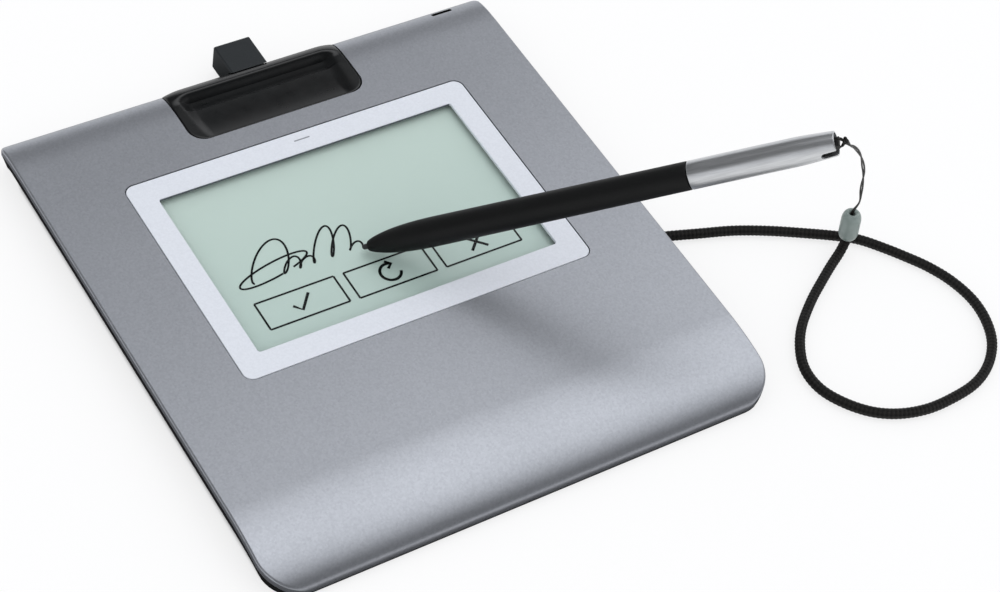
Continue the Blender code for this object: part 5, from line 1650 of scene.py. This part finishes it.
@dataclass
class Tether:
    """The braided cord on the desk, its sleeve, and the string up to the pen's tail."""

    paint: Paintbox
    cord_radius: float = 0.0016
    string_radius: float = 0.00055
    sleeve_radius: float = 0.0030
    sleeve_length: float = 0.0102
    sleeve_shoulder: tuple[float, float] = (0.0014, 0.0031)
    sleeve_foot: tuple[float, float] = (0.0010, 0.0026)
    sleeve_grip: float = 0.0066
    sleeve_mouth: tuple[float, float, float] = (0.13354, -0.04617, 0.0052)
    sleeve_tip: tuple[float, float, float] = (0.13300, -0.04549, 0.01535)
    cord_exit: tuple[float, float, float] = (0.0807, -0.0195, 0.0010)
    sleeve_flare: tuple[tuple[float, float], ...] = ((0.0007, 0.0), (0.00025, 0.0002),
                                                     (0.0, 0.0007))
    clearance: float = 0.0003
    crossings: int = 8
    braid_relief: float = 0.13
    end_taper: float = 0.1
    cord_spacing: float = 0.2 * MM
    cord_keel: tuple[float, float, float] = (-0.16, -0.1, 1.0)
    strand_radius: float = 0.00026
    strand_share: float = 0.95
    strand_swell: float = 0.00006
    twist_length: float = 0.0360
    string_spacing: float = 0.25 * MM
    string_keel: tuple[float, float, float] = (-0.42, 0.9, 0.1)
    loop_winds: int = 3
    loop_strand: float = 0.00025
    loop_apart: float = 0.0002
    knot_size: float = 0.00034
    knot_strand: float = 0.00028
    knot_rise: float = 0.0007
    axis: PenAxis = PEN_AXIS
    cord_path: Array = field(init=False, repr=False)
    string_path: Array = field(init=False, repr=False)

    CORD_ROUTE = (
        (0.0702, -0.0192, 0.0019), (0.0760, -0.0192, 0.0016), (0.0815, -0.0196, 0.0008),
        (0.0860, -0.0206, 0.0008), (0.0953, -0.0236, 0.0008), (0.1057, -0.0270, 0.0008),
        (0.1154, -0.0314, 0.0008), (0.1247, -0.0365, 0.0008), (0.1338, -0.0419, 0.0008),
        (0.1395, -0.0461, 0.0008), (0.1442, -0.0516, 0.0008), (0.1485, -0.0575, 0.0008),
        (0.1526, -0.0639, 0.0008), (0.1557, -0.0713, 0.0008), (0.1571, -0.0798, 0.0008),
        (0.1559, -0.0880, 0.0008), (0.1521, -0.0959, 0.0008), (0.1454, -0.1023, 0.0008),
        (0.1373, -0.1061, 0.0008), (0.1275, -0.1075, 0.0008), (0.1184, -0.1074, 0.0008),
        (0.1099, -0.1052, 0.0008), (0.1030, -0.1011, 0.0008), (0.0976, -0.0949, 0.0008),
        (0.0944, -0.0880, 0.0008), (0.0944, -0.0806, 0.0008), (0.0975, -0.0736, 0.0008),
        (0.1030, -0.0667, 0.0008), (0.1113, -0.0599, 0.0008), (0.1195, -0.0545, 0.0008),
        (0.1255, -0.0508, 0.0008), (0.1294, -0.0486, 0.0009), (0.1314, -0.04745, 0.0014),
        (0.1327, -0.0467, 0.0026), (0.13335, -0.0463, 0.0042),
    )
    STRING_ROUTE = (
        (0.1323, -0.0471, 0.0218), (0.1296, -0.0486, 0.0291), (0.1267, -0.0503, 0.0361),
        (0.1250, -0.0513, 0.0401), (0.1230, -0.0524, 0.0444), (0.1194, -0.0542, 0.0508),
        (0.1164, -0.0556, 0.0557), (0.1129, -0.0573, 0.0608), (0.1094, -0.0589, 0.0654),
        (0.1056, -0.0607, 0.0699), (0.1015, -0.0626, 0.0741),
    )

    def sleeve_frame(self) -> Matrix:
        """Place and turn of the sleeve, from its mouth to its tip.

        Returns:
            The matrix.
        """
        mouth = Vector(self.sleeve_mouth)
        turn = (Vector(self.sleeve_tip) - mouth).to_track_quat("Z", "Y")
        return Matrix.Translation(mouth) @ turn.to_matrix().to_4x4()

    def build_cord(self) -> bpy.types.Object:
        """The braid: a tube whose radius rises and falls where two sets of strands cross.

        Eight crossings go round the cord. The relief is half of one plus the product of two
        sines, whose phases run round the cord and along it in opposite turns.

        Returns:
            The cord.
        """
        frame = self.sleeve_frame()
        grip = frame @ Vector((0.0, 0.0, self.sleeve_grip - self.clearance))
        route = [*self.CORD_ROUTE, self.sleeve_mouth, tuple(grip)]
        path = smooth_curve(route, self.cord_spacing)
        steps = 40
        reach = np.linspace(0.0, length_of(path), len(path))[:, None]
        turn = np.linspace(0.0, 1.0, steps + 1)[None, :]
        crossing = math.tau * self.cord_radius / self.crossings
        first = self.crossings / 2 * turn + reach / (2 * crossing)
        second = self.crossings / 2 * turn - reach / (2 * crossing)
        relief = 0.5 + 0.5 * np.sin(math.tau * first) * np.sin(math.tau * second)
        ends = np.clip(np.minimum(reach, reach[-1] - reach) / self.cord_radius, 0.0, 1.0)
        radius = self.cord_radius * (1.0 - self.braid_relief * (1.0 - relief))
        net = tube(path, radius * (1.0 - self.end_taper * (1.0 - ends)), self.cord_keel, steps)
        chart = np.stack(np.broadcast_arrays(turn * self.crossings, reach / crossing), axis=-1)
        skin = Skin()
        skin.bar(net, chart, relief)
        cord = skin.piece("cord_braid", [self.paint[BRAID]], Body.PAD, ["tether_cord"],
                          crease=80.0)
        self.cord_path = path
        return cord

    def build_sleeve(self) -> bpy.types.Object:
        """The sleeve: a turned profile with a bore below and a small hole on top.

        Its foot and its shoulder are quarter ellipses, longer along the sleeve than across.

        Returns:
            The sleeve.
        """
        bore = self.cord_radius + self.clearance
        hole = self.string_radius + self.clearance
        turn = quarter(10)
        foot, shoulder = self.sleeve_foot, self.sleeve_shoulder
        low = np.stack([self.sleeve_radius - foot[0] * (1 - np.sin(turn)),
                        foot[1] * (1 - np.cos(turn))], -1)
        high = np.stack([self.sleeve_radius - shoulder[0] * (1 - np.cos(turn)),
                         self.sleeve_length - shoulder[1] * (1 - np.sin(turn))], -1)
        flare = [[hole + grow, self.sleeve_length - depth] for grow, depth in self.sleeve_flare]
        flare = np.array([*flare, [hole, self.sleeve_grip], [bore, self.sleeve_grip]])
        start = np.array([[bore, 0.0]])
        profile = np.concatenate([start, low, high, flare, start])
        skin = Skin()
        skin.grid(moved(lathe(profile, 64), self.sleeve_frame()))
        return skin.piece("sleeve_body", [self.paint[SLEEVE]], Body.PAD, ["tether_sleeve"],
                          crease=40.0)

    def build_string(self) -> bpy.types.Object:
        """Two thin strands laid round each other, loosely in the middle of the run.

        Each strand's centre turns about the route at a small radius, half a turn from the
        other's, and the radius swells by a sine between the two ends.

        Returns:
            The string.
        """
        frame = self.sleeve_frame()
        start = frame @ Vector((0.0, 0.0, self.sleeve_grip + self.clearance))
        out = frame @ Vector((0.0, 0.0, self.sleeve_length + self.string_radius))
        tail = self.axis.point(self.axis.loop_reach() + self.axis.loop_radius
                               + self.axis.loop_wire + self.string_radius)
        path = smooth_curve([tuple(start), tuple(out), *self.STRING_ROUTE, tuple(tail)],
                            self.string_spacing)
        first, second = sides_of(path, self.string_keel)
        reach = np.linspace(0.0, length_of(path), len(path))[:, None]
        swell = np.sin(math.pi * reach / reach[-1]) ** 2
        apart = self.strand_radius * self.strand_share + self.strand_swell * swell
        skin = Skin()
        for phase in (0.0, math.pi):
            turn = math.tau * reach / self.twist_length + phase
            centre = path + apart * (first * np.cos(turn) + second * np.sin(turn))
            skin.bar(tube(centre, self.strand_radius, self.string_keel, 10))
        string = skin.piece("string_strands", [self.paint[STRING]], None, ["tether_string"],
                            crease=80.0, weld=1e-8)
        self.string_path = path
        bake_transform(string)
        return string

    def build_loop(self) -> bpy.types.Object:
        """The loop through the pen's eye and the knot that ties it to the string.

        The loop is two strands wound round a ring. The knot's line is the trefoil: sine plus
        twice the sine of the double angle, cosine less twice the cosine, and a sine of three.

        Returns:
            The loop with its knot.
        """
        matrix = self.axis.frame()
        centre = self.axis.loop_reach()
        turn = np.linspace(0.0, math.tau, 121)
        skin = Skin()
        for phase in (0.0, math.pi):
            wind = self.loop_winds * turn + phase
            reach = self.axis.loop_radius + self.loop_apart * np.cos(wind)
            ring = np.stack([reach * np.cos(turn), self.loop_apart * np.sin(wind),
                             centre + reach * np.sin(turn)], -1)
            skin.grid(moved(ring_tube(ring, self.loop_strand, (0.0, 1.0, 0.0)), matrix))
        knot = self.knot_size * np.stack([np.sin(turn) + 2 * np.sin(2 * turn),
                                          np.cos(turn) - 2 * np.cos(2 * turn),
                                          -np.sin(3 * turn)], -1)
        knot += np.array([0.0, 0.0, centre + self.axis.loop_radius + self.knot_rise])
        skin.grid(moved(ring_tube(knot, self.knot_strand, (0.02, 0.03, 1.0)), matrix))
        return skin.piece("loop_knot", [self.paint[STRING]], Body.PEN, ["string_loop"],
                          crease=80.0, weld=1e-7)

    def build(self) -> None:
        """Builds the tether: the cord, the sleeve, the string and the loop with its knot."""
        cord = self.build_cord()
        sleeve = self.build_sleeve()
        2 * self.cord_radius
        self.cord_path[::5].tolist()
        string = self.build_string()
        self.build_loop()
        2 * self.string_radius
        self.string_path[::4].tolist()


@dataclass
class Pen:
    """The pen's nib, black grip and silver barrel."""

    paint: Paintbox
    axis: PenAxis = PEN_AXIS
    nib_length: float = 0.0280
    mouth_reach: float = 0.0020
    mouth_radius: float = 0.00135
    nose_reach: float = 0.0242
    nose_radius: float = 0.00431
    swell_power: float = 2.5
    ease_power: float = 0.75
    grip_end: float = 0.0981
    barrel_radius: float = 0.00405
    barrel_end_radius: float = 0.00346
    barrel_fall: float = 0.0120
    fall_power: float = 1.5
    bore: float = 0.0030
    slot_length: float = 0.0044
    slot_width: float = 0.0020
    slot_turn: float = 14.0
    slot_round: float = 2.05
    edge: float = 0.00018
    nose_spread: float = 1.6
    guide_end: float = 0.0085
    bore_start: float = 0.0150
    overrun: float = 0.002

    def grip_radius(self, reach: Array) -> Array:
        """Outer radius of the grip.

        On the nose it swells from the mouth to the full radius by one less a power of the way
        left, eased by a second power. After that it tapers evenly to the barrel's radius.

        Args:
            reach: Distances from the pen's tip.

        Returns:
            The radii.
        """
        share = np.clip((reach - self.mouth_reach) / (self.nose_reach - self.mouth_reach), 0, 1)
        swell = (1 - (1 - share) ** self.swell_power) ** self.ease_power
        nose = self.mouth_radius + (self.nose_radius - self.mouth_radius) * swell
        taper = np.clip((reach - self.nose_reach) / (self.grip_end - self.nose_reach), 0, 1)
        return nose + (self.barrel_radius - self.nose_radius) * taper

    def add_turned(
        self, name: str, profile: Array, finish: Material, node: str,
        body: Body = Body.PEN, steps: int = 96,
    ) -> bpy.types.Object:
        """Makes a turned piece of the pen from its closed profile.

        Args:
            name: The piece's name.
            profile: Radius and reach pairs, closed.
            finish: Its material.
            node: The CAD node that it stands for.
            body: The body that it rides on.
            steps: Points round it.

        Returns:
            The piece.
        """
        skin = Skin()
        skin.grid(moved(lathe(profile, steps), self.axis.frame()))
        return skin.piece(name, [finish], body, [node], crease=38.0)

    def build(self) -> None:
        """Builds the nib, the grip and the barrel with its slotted end."""
        turn = quarter(8)[::-1]
        nib, gap, end = self.axis.nib_radius, self.axis.gap, self.axis.length
        tip = np.stack([nib * np.cos(turn), nib * (1 - np.sin(turn))], -1)
        shank = np.array([[nib, self.nib_length], [0.0, self.nib_length]])
        self.add_turned("nib_point", np.concatenate([tip, shank]), self.paint[NIB_PLASTIC],
                        "pen_nib", Body.NIB, 32)

        share = np.linspace(0.0, 1.0, 40) ** self.nose_spread
        nose = self.mouth_reach + (self.nose_reach - self.mouth_reach) * share
        run = np.linspace(self.nose_reach, self.grip_end - self.edge, 24)[1:]
        reach = np.concatenate([nose, run])
        outer = np.stack([self.grip_radius(reach), reach], -1)
        rounding = np.stack([
            self.barrel_radius - self.edge * (1 - np.cos(quarter(3))),
            self.grip_end - self.edge * (1 - np.sin(quarter(3)))], -1)
        guide = nib + gap
        inner = self.bore - gap
        closing = np.array([[inner, self.grip_end], [inner, self.bore_start],
                            [guide, self.guide_end], [guide, self.mouth_reach],
                            [self.mouth_radius, self.mouth_reach]])
        self.add_turned("grip_shell", np.concatenate([outer, rounding, closing]), self.paint[GRIP],
                        "pen_grip")

        start = self.grip_end + gap
        first = np.stack([
            self.barrel_radius - self.edge * (1 - np.sin(quarter(3))),
            start + self.edge * (1 - np.cos(quarter(3)))], -1)
        middle = np.linspace(start + self.edge, end - self.barrel_fall, 12)[1:-1]
        straight = np.stack([np.full(len(middle), self.barrel_radius), middle], -1)
        share = np.linspace(0.0, 1.0, 24)
        fall = (self.barrel_radius - self.barrel_end_radius) * share ** self.fall_power
        tapered = np.stack([
            self.barrel_radius - fall,
            end - self.edge - (self.barrel_fall - self.edge) * (1 - share)], -1)
        rim = np.stack([
            self.barrel_end_radius - self.edge * (1 - np.cos(quarter(4))),
            end - self.edge * (1 - np.sin(quarter(4)))], -1)[1:]
        closing = np.array([[self.bore, end], [self.bore, start], first[0]])
        profile = np.concatenate([first, straight, tapered, rim, closing])
        barrel = self.add_turned("barrel_shell", profile, self.paint[BARREL], "pen_barrel",
                                 steps=128)
        slot_end = end + self.overrun
        half = (self.slot_length + self.overrun) / 2
        section = rounded_rectangle(self.slot_width / 2, half, self.slot_width / self.slot_round,
                                    (0.0, slot_end - half), 10)
        place = self.axis.frame() @ Matrix.Rotation(math.radians(self.slot_turn), 4, "Z")
        rows = [moved(np.column_stack([section[:, 0], np.full(len(section), y), section[:, 1]]),
                      place) for y in (-self.barrel_radius - self.overrun, 0.0)]
        cut(barrel, cutter("slot_bar", *rows, self.paint[BARREL]))


# Nodes that keep their CAD shape


@dataclass
class KeptNodes:
    """Pieces whose CAD shape is right, which only get their finish."""

    paint: Paintbox
    finishes: tuple[tuple[Finish, tuple[str, ...]], ...] = (
        (BLACK_ABS, ("bottom_case",)),
        (COVER_GLASS, ("writing_glass",)),
        (LCD_PANEL, ("lcd_panel",)),
        (INNER_BLACK, ("display_frame", "port_tongue", "tether_anchor", "pen_tail",
                       "pressure_cell")),
        (BOARD, ("sensor_board", "main_board", "pen_circuit")),
        (PLATED_STEEL, ("shield_sheet", "board_screw_left", "board_screw_right", "port_shell")),
        (CHIP_RESIN, ("controller_chip",)),
        (FILM, ("sensor_ribbon", "display_ribbon")),
        (PORT_GREY, ("port_housing",)),
        (BLACKENED_STEEL, ("lock_plate", "anchor_screw")),
        (FERRITE, ("ferrite_core",)),
        (COPPER, ("pen_coil",)),
    )

    def dress(self, nodes: dict[str, bpy.types.Object]) -> None:
        """Gives each node that stays its finish, the feet and case screws among them.

        Args:
            nodes: The frame's nodes by name.
        """
        chosen = {name: finish for finish, names in self.finishes for name in names}
        for name in nodes:
            if name.startswith("foot_"):
                chosen[name] = FOOT_RUBBER
            elif name.startswith("case_screw_"):
                chosen[name] = BLACKENED_STEEL
        for name, finish in chosen.items():
            mesh = nodes[name].data
            mesh.materials.clear()
            mesh.materials.append(self.paint[finish])
            LOG.info("%s: finish %s", name, finish.name)


# Camera, floor and light


@dataclass
class Studio:
    """The camera of the photograph, a pale floor and soft light."""

    camera_place: tuple[float, float, float] = (-0.285572, -0.391045, 0.555296)
    azimuth: float = -40.200
    elevation: float = 48.773
    roll: float = 11.972
    lens: float = 92.178
    sensor: float = 36.0
    clip: tuple[float, float] = (0.01, 20.0)
    shift: tuple[float, float] = (-0.0012, 0.0003)
    floor_height: float = -0.0008
    floor_half: float = 3.0
    floor_colour: str = "#F2F2F2"
    # Colour of the painted shade that mirrors see on the floor round the pad.
    floor_shade: str = "#101010"
    floor_roughness: float = 0.9
    floor_glow: float = 0.7
    glow_level: float = 1.05
    pad_half: tuple[float, float, float] = (0.0807, 0.0855, 0.0)
    pad_corner: float = 0.0125
    shade_reach: tuple[float, float] = (0.0, 0.05)
    under_reach: tuple[float, float] = (-0.0030, -0.0012)
    room_colour: str = "#FBFCFF"
    even_level: float = 0.93
    softbox_share: float = 0.2
    softbox_level: float = 1.52
    softbox_front: tuple[float, float] = (-0.68, 0.12)
    softbox_rear: tuple[float, float] = (0.43, 0.60)
    softbox_left: tuple[float, float] = (-0.45, 0.05)
    softbox_low: tuple[float, float] = (0.25, 0.50)
    wall_way: tuple[float, float, float] = (-0.82, -0.48, 0.24)
    wall_reach: tuple[float, float] = (0.90, 0.97)
    wall_level: float = 0.9
    sky_reach: tuple[float, float] = (0.45, 0.80)
    sky_levels: tuple[float, float] = (0.12, 0.13)
    rear_way: tuple[float, float, float] = (0.46, 0.87, 0.10)
    rear_reach: tuple[float, float] = (0.90, 0.945)
    dark_reach: tuple[float, float] = (0.74, 0.80)
    dark_share: float = 0.05
    horizon_reach: tuple[float, float] = (0.06, 0.22)
    lamp_place: tuple[float, float, float] = (0.42, 0.06, 0.90)
    lamp_aim: tuple[float, float, float] = (0.0, -0.02, 0.0)
    lamp_size: float = 0.60
    lamp_watts: float = 0.25

    def build_camera(self) -> None:
        """The camera: looks along its azimuth and elevation, and rolls about that line."""
        data = bpy.data.cameras.new("camera")
        data.lens = self.lens
        data.sensor_width = self.sensor
        data.shift_x, data.shift_y = self.shift
        data.clip_start, data.clip_end = self.clip
        camera = bpy.data.objects.new("camera", data)
        bpy.context.scene.collection.objects.link(camera)
        turn, rise = math.radians(self.azimuth), math.radians(self.elevation)
        back = Vector((math.sin(turn) * math.cos(rise), -math.cos(turn) * math.cos(rise),
                       math.sin(rise)))
        level = (-back).to_track_quat("-Z", "Y").to_matrix()
        tilt = Matrix.Rotation(math.radians(self.roll), 3, "Z")
        camera.matrix_world = Matrix.Translation(self.camera_place) @ (level @ tilt).to_4x4()
        bpy.context.scene.camera = camera

    def build_floor(self) -> None:
        """The floor: white to the camera, to glass and to mirrors, and it keeps the shadow.

        Mirrors see a painted shade on it close to the pad, and white farther out. Under the pad it
        is dark.
        """
        mesh = bpy.data.meshes.new("floor")
        far, height = self.floor_half, self.floor_height
        corners = np.array([[-far, -far, height], [far, -far, height], [far, far, height],
                            [-far, far, height]])
        mesh.from_pydata(corners, [], [(0, 1, 2, 3)])
        floor = bpy.data.objects.new("floor", mesh)
        bpy.context.scene.collection.objects.link(floor)
        material = bpy.data.materials.new("paper_floor")
        material.use_nodes = True
        tree = material.node_tree
        shader = tree.nodes["Principled BSDF"]
        shader.inputs["Roughness"].default_value = self.floor_roughness
        spot = add_node(tree, "TexCoord").outputs["Object"]
        size = add_node(tree, "VectorMath", {0: spot}, operation="ABSOLUTE")
        corner = Vector((self.pad_corner, self.pad_corner, -self.floor_half))
        outside = add_node(tree, "VectorMath", {
            0: size.outputs["Vector"], 1: Vector(self.pad_half) - corner,
        }, operation="SUBTRACT")
        beyond = add_node(tree, "VectorMath", {0: outside.outputs["Vector"], 1: Vector()},
                          operation="MAXIMUM")
        length = add_node(tree, "VectorMath", {0: beyond.outputs["Vector"]}, operation="LENGTH")
        reach = add_node(tree, "Math", {0: length.outputs["Value"], 1: self.pad_corner},
                         operation="SUBTRACT")
        white = self.ease(tree, reach.outputs[0], self.shade_reach)
        near = add_node(tree, "Math", {0: 1.0, 1: white}, operation="SUBTRACT")
        path = add_node(tree, "LightPath")
        # Painted shade: glossy rays see the floor darkened close to the pad.
        shaded = self.product(tree, path.outputs["Is Glossy Ray"], near.outputs[0])
        colour = add_node(tree, "Mix", {
            0: shaded, 6: linear(self.floor_colour), 7: linear(self.floor_shade),
        }, data_type="RGBA")
        tree.links.new(colour.outputs[2], shader.inputs["Base Color"])
        straight = add_node(tree, "Math", {
            0: path.outputs["Is Camera Ray"], 1: path.outputs["Is Transmission Ray"],
        }, operation="MAXIMUM")
        straight = self.product(
            tree, straight.outputs[0],
            self.ease(tree, reach.outputs[0], self.under_reach, (0.0, self.floor_glow)))
        mirrored = self.product(tree, path.outputs["Is Glossy Ray"], white)
        share = add_node(tree, "Math", {0: straight, 1: mirrored}, operation="MAXIMUM")
        glow = add_node(tree, "Emission", {
            "Color": linear("#FFFFFF"), "Strength": self.glow_level,
        })
        both = add_node(tree, "MixShader", {
            0: share.outputs[0], 1: shader.outputs[0], 2: glow.outputs[0],
        })
        tree.links.new(both.outputs[0], tree.nodes["Material Output"].inputs["Surface"])
        mesh.materials.append(material)

    def ease(
        self, tree: Tree, value: Socket, reach: tuple[float, float],
        levels: tuple[float, float] = (0.0, 1.0),
    ) -> Socket:
        """Level that runs smoothly from one value to another as a number crosses its reach.

        Args:
            tree: The world's or a material's nodes.
            value: The number.
            reach: Its values at which the two levels are reached.
            levels: The two levels.

        Returns:
            The level.
        """
        return add_node(tree, "MapRange", {
            "Value": value, "From Min": reach[0], "From Max": reach[1],
            "To Min": levels[0], "To Max": levels[1],
        }, interpolation_type="SMOOTHSTEP").outputs["Result"]

    def toward(self, tree: Tree, way: Socket, aim: Sequence[float]) -> Socket:
        """Cosine of the angle between the direction looked in and another."""
        return add_node(tree, "VectorMath", {0: way, 1: Vector(aim).normalized()},
                        operation="DOT_PRODUCT").outputs["Value"]

    def product(self, tree: Tree, *levels: Socket) -> Socket:
        """Levels multiplied together.

        Args:
            tree: The world's or a material's nodes.
            levels: The levels.

        Returns:
            Their product.
        """
        result = levels[0]
        for level in levels[1:]:
            result = add_node(tree, "Math", {0: result, 1: level}, operation="MULTIPLY").outputs[0]
        return result

    def build_world(self) -> None:
        """The room: even light for matt surfaces, and what the glossy ones mirror.

        Mirrors and glass see a room that darkens downwards, with a long softbox overhead and a
        small lit wall at the front left. The white backdrop reaches a little above the horizon,
        and highest behind the pad, where a dark band borders it. The camera sees white.
        """
        world = bpy.data.worlds.new("room")
        bpy.context.scene.world = world
        world.use_nodes = True
        tree = world.node_tree
        tree.nodes.clear()
        way = add_node(tree, "TexCoord").outputs["Generated"]
        axes = add_node(tree, "SeparateXYZ", {0: way})
        east, north, up = (axes.outputs[name] for name in ("X", "Y", "Z"))
        softbox = self.product(
            tree, self.ease(tree, north, self.softbox_front),
            self.ease(tree, north, self.softbox_rear, (1.0, 0.0)),
            self.ease(tree, east, self.softbox_left), self.ease(tree, up, self.softbox_low))
        box = add_node(tree, "Math", {0: softbox, 1: self.softbox_level}, operation="MULTIPLY")
        wall = self.ease(tree, self.toward(tree, way, self.wall_way), self.wall_reach,
                         (0.0, self.wall_level))
        sky = self.ease(tree, up, self.sky_reach, self.sky_levels)
        behind = self.toward(tree, way, self.rear_way)
        dark = self.ease(tree, behind, self.dark_reach, (1.0, self.dark_share))
        room = add_node(tree, "Math", {0: self.product(tree, sky, dark), 1: wall},
                        operation="ADD")
        room = add_node(tree, "Math", {0: room.outputs[0], 1: box.outputs[0]}, operation="ADD")
        low = self.ease(tree, up, self.horizon_reach, (1.0, 0.0))
        rear = self.ease(tree, behind, self.rear_reach)
        white = add_node(tree, "Math", {0: low, 1: rear}, operation="MAXIMUM")
        backed = add_node(tree, "Mix", {
            0: white.outputs[0], 2: room.outputs[0], 3: 1.0,
        }, data_type="FLOAT")
        path = add_node(tree, "LightPath")
        mirrored = add_node(tree, "Math", {
            0: path.outputs["Is Glossy Ray"], 1: path.outputs["Is Transmission Ray"],
        }, operation="MAXIMUM")
        even = add_node(tree, "Math", {0: softbox, 1: self.softbox_share}, operation="MULTIPLY")
        even = add_node(tree, "Math", {0: even.outputs[0], 1: self.even_level}, operation="ADD")
        level = add_node(tree, "Mix", {
            0: mirrored.outputs[0], 2: even.outputs[0], 3: backed.outputs[0],
        }, data_type="FLOAT")
        light = add_node(tree, "Background", {
            "Color": linear(self.room_colour), "Strength": level.outputs[0],
        })
        plain = add_node(tree, "Background", {"Color": linear("#FFFFFF"), "Strength": 1.0})
        both = add_node(tree, "MixShader", {
            0: path.outputs["Is Camera Ray"], 1: light.outputs[0], 2: plain.outputs[0],
        })
        out = add_node(tree, "OutputWorld")
        tree.links.new(both.outputs[0], out.inputs["Surface"])

    def build_lamp(self) -> None:
        """The square soft lamp that hangs to the right and faces the pad."""
        data = bpy.data.lights.new("overhead_softbox", "AREA")
        data.shape = "SQUARE"
        data.size = self.lamp_size
        data.energy = self.lamp_watts
        lamp = bpy.data.objects.new("overhead_softbox", data)
        bpy.context.scene.collection.objects.link(lamp)
        way = Vector(self.lamp_aim) - Vector(self.lamp_place)
        turn = way.to_track_quat("-Z", "Y").to_matrix().to_4x4()
        lamp.matrix_world = Matrix.Translation(self.lamp_place) @ turn

    def build(self) -> None:
        """Builds the camera, the floor, the room and the lamp."""
        bpy.context.scene.view_settings.view_transform = "Standard"
        self.build_camera()
        self.build_floor()
        self.build_world()
        self.build_lamp()


def main() -> None:
    """Builds every piece in order and reports it."""
    logging.basicConfig(level=logging.INFO, format="%(message)s")
    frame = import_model()
    paint = Paintbox()
    Studio().build()
    Tether(paint).build()
    shape, bezel, tray = PadShape(), BezelPlan(), TrayPlan()
    Cover(paint, shape, bezel, tray).build()
    display = Display(paint, shape, bezel)
    display.build_bezel()
    display.build_marks()
    PenTray(paint, shape, tray).build()
    Pen(paint).build()
    KeptNodes(paint).dress(frame["nodes"])


if __name__ == "__main__":
    main()
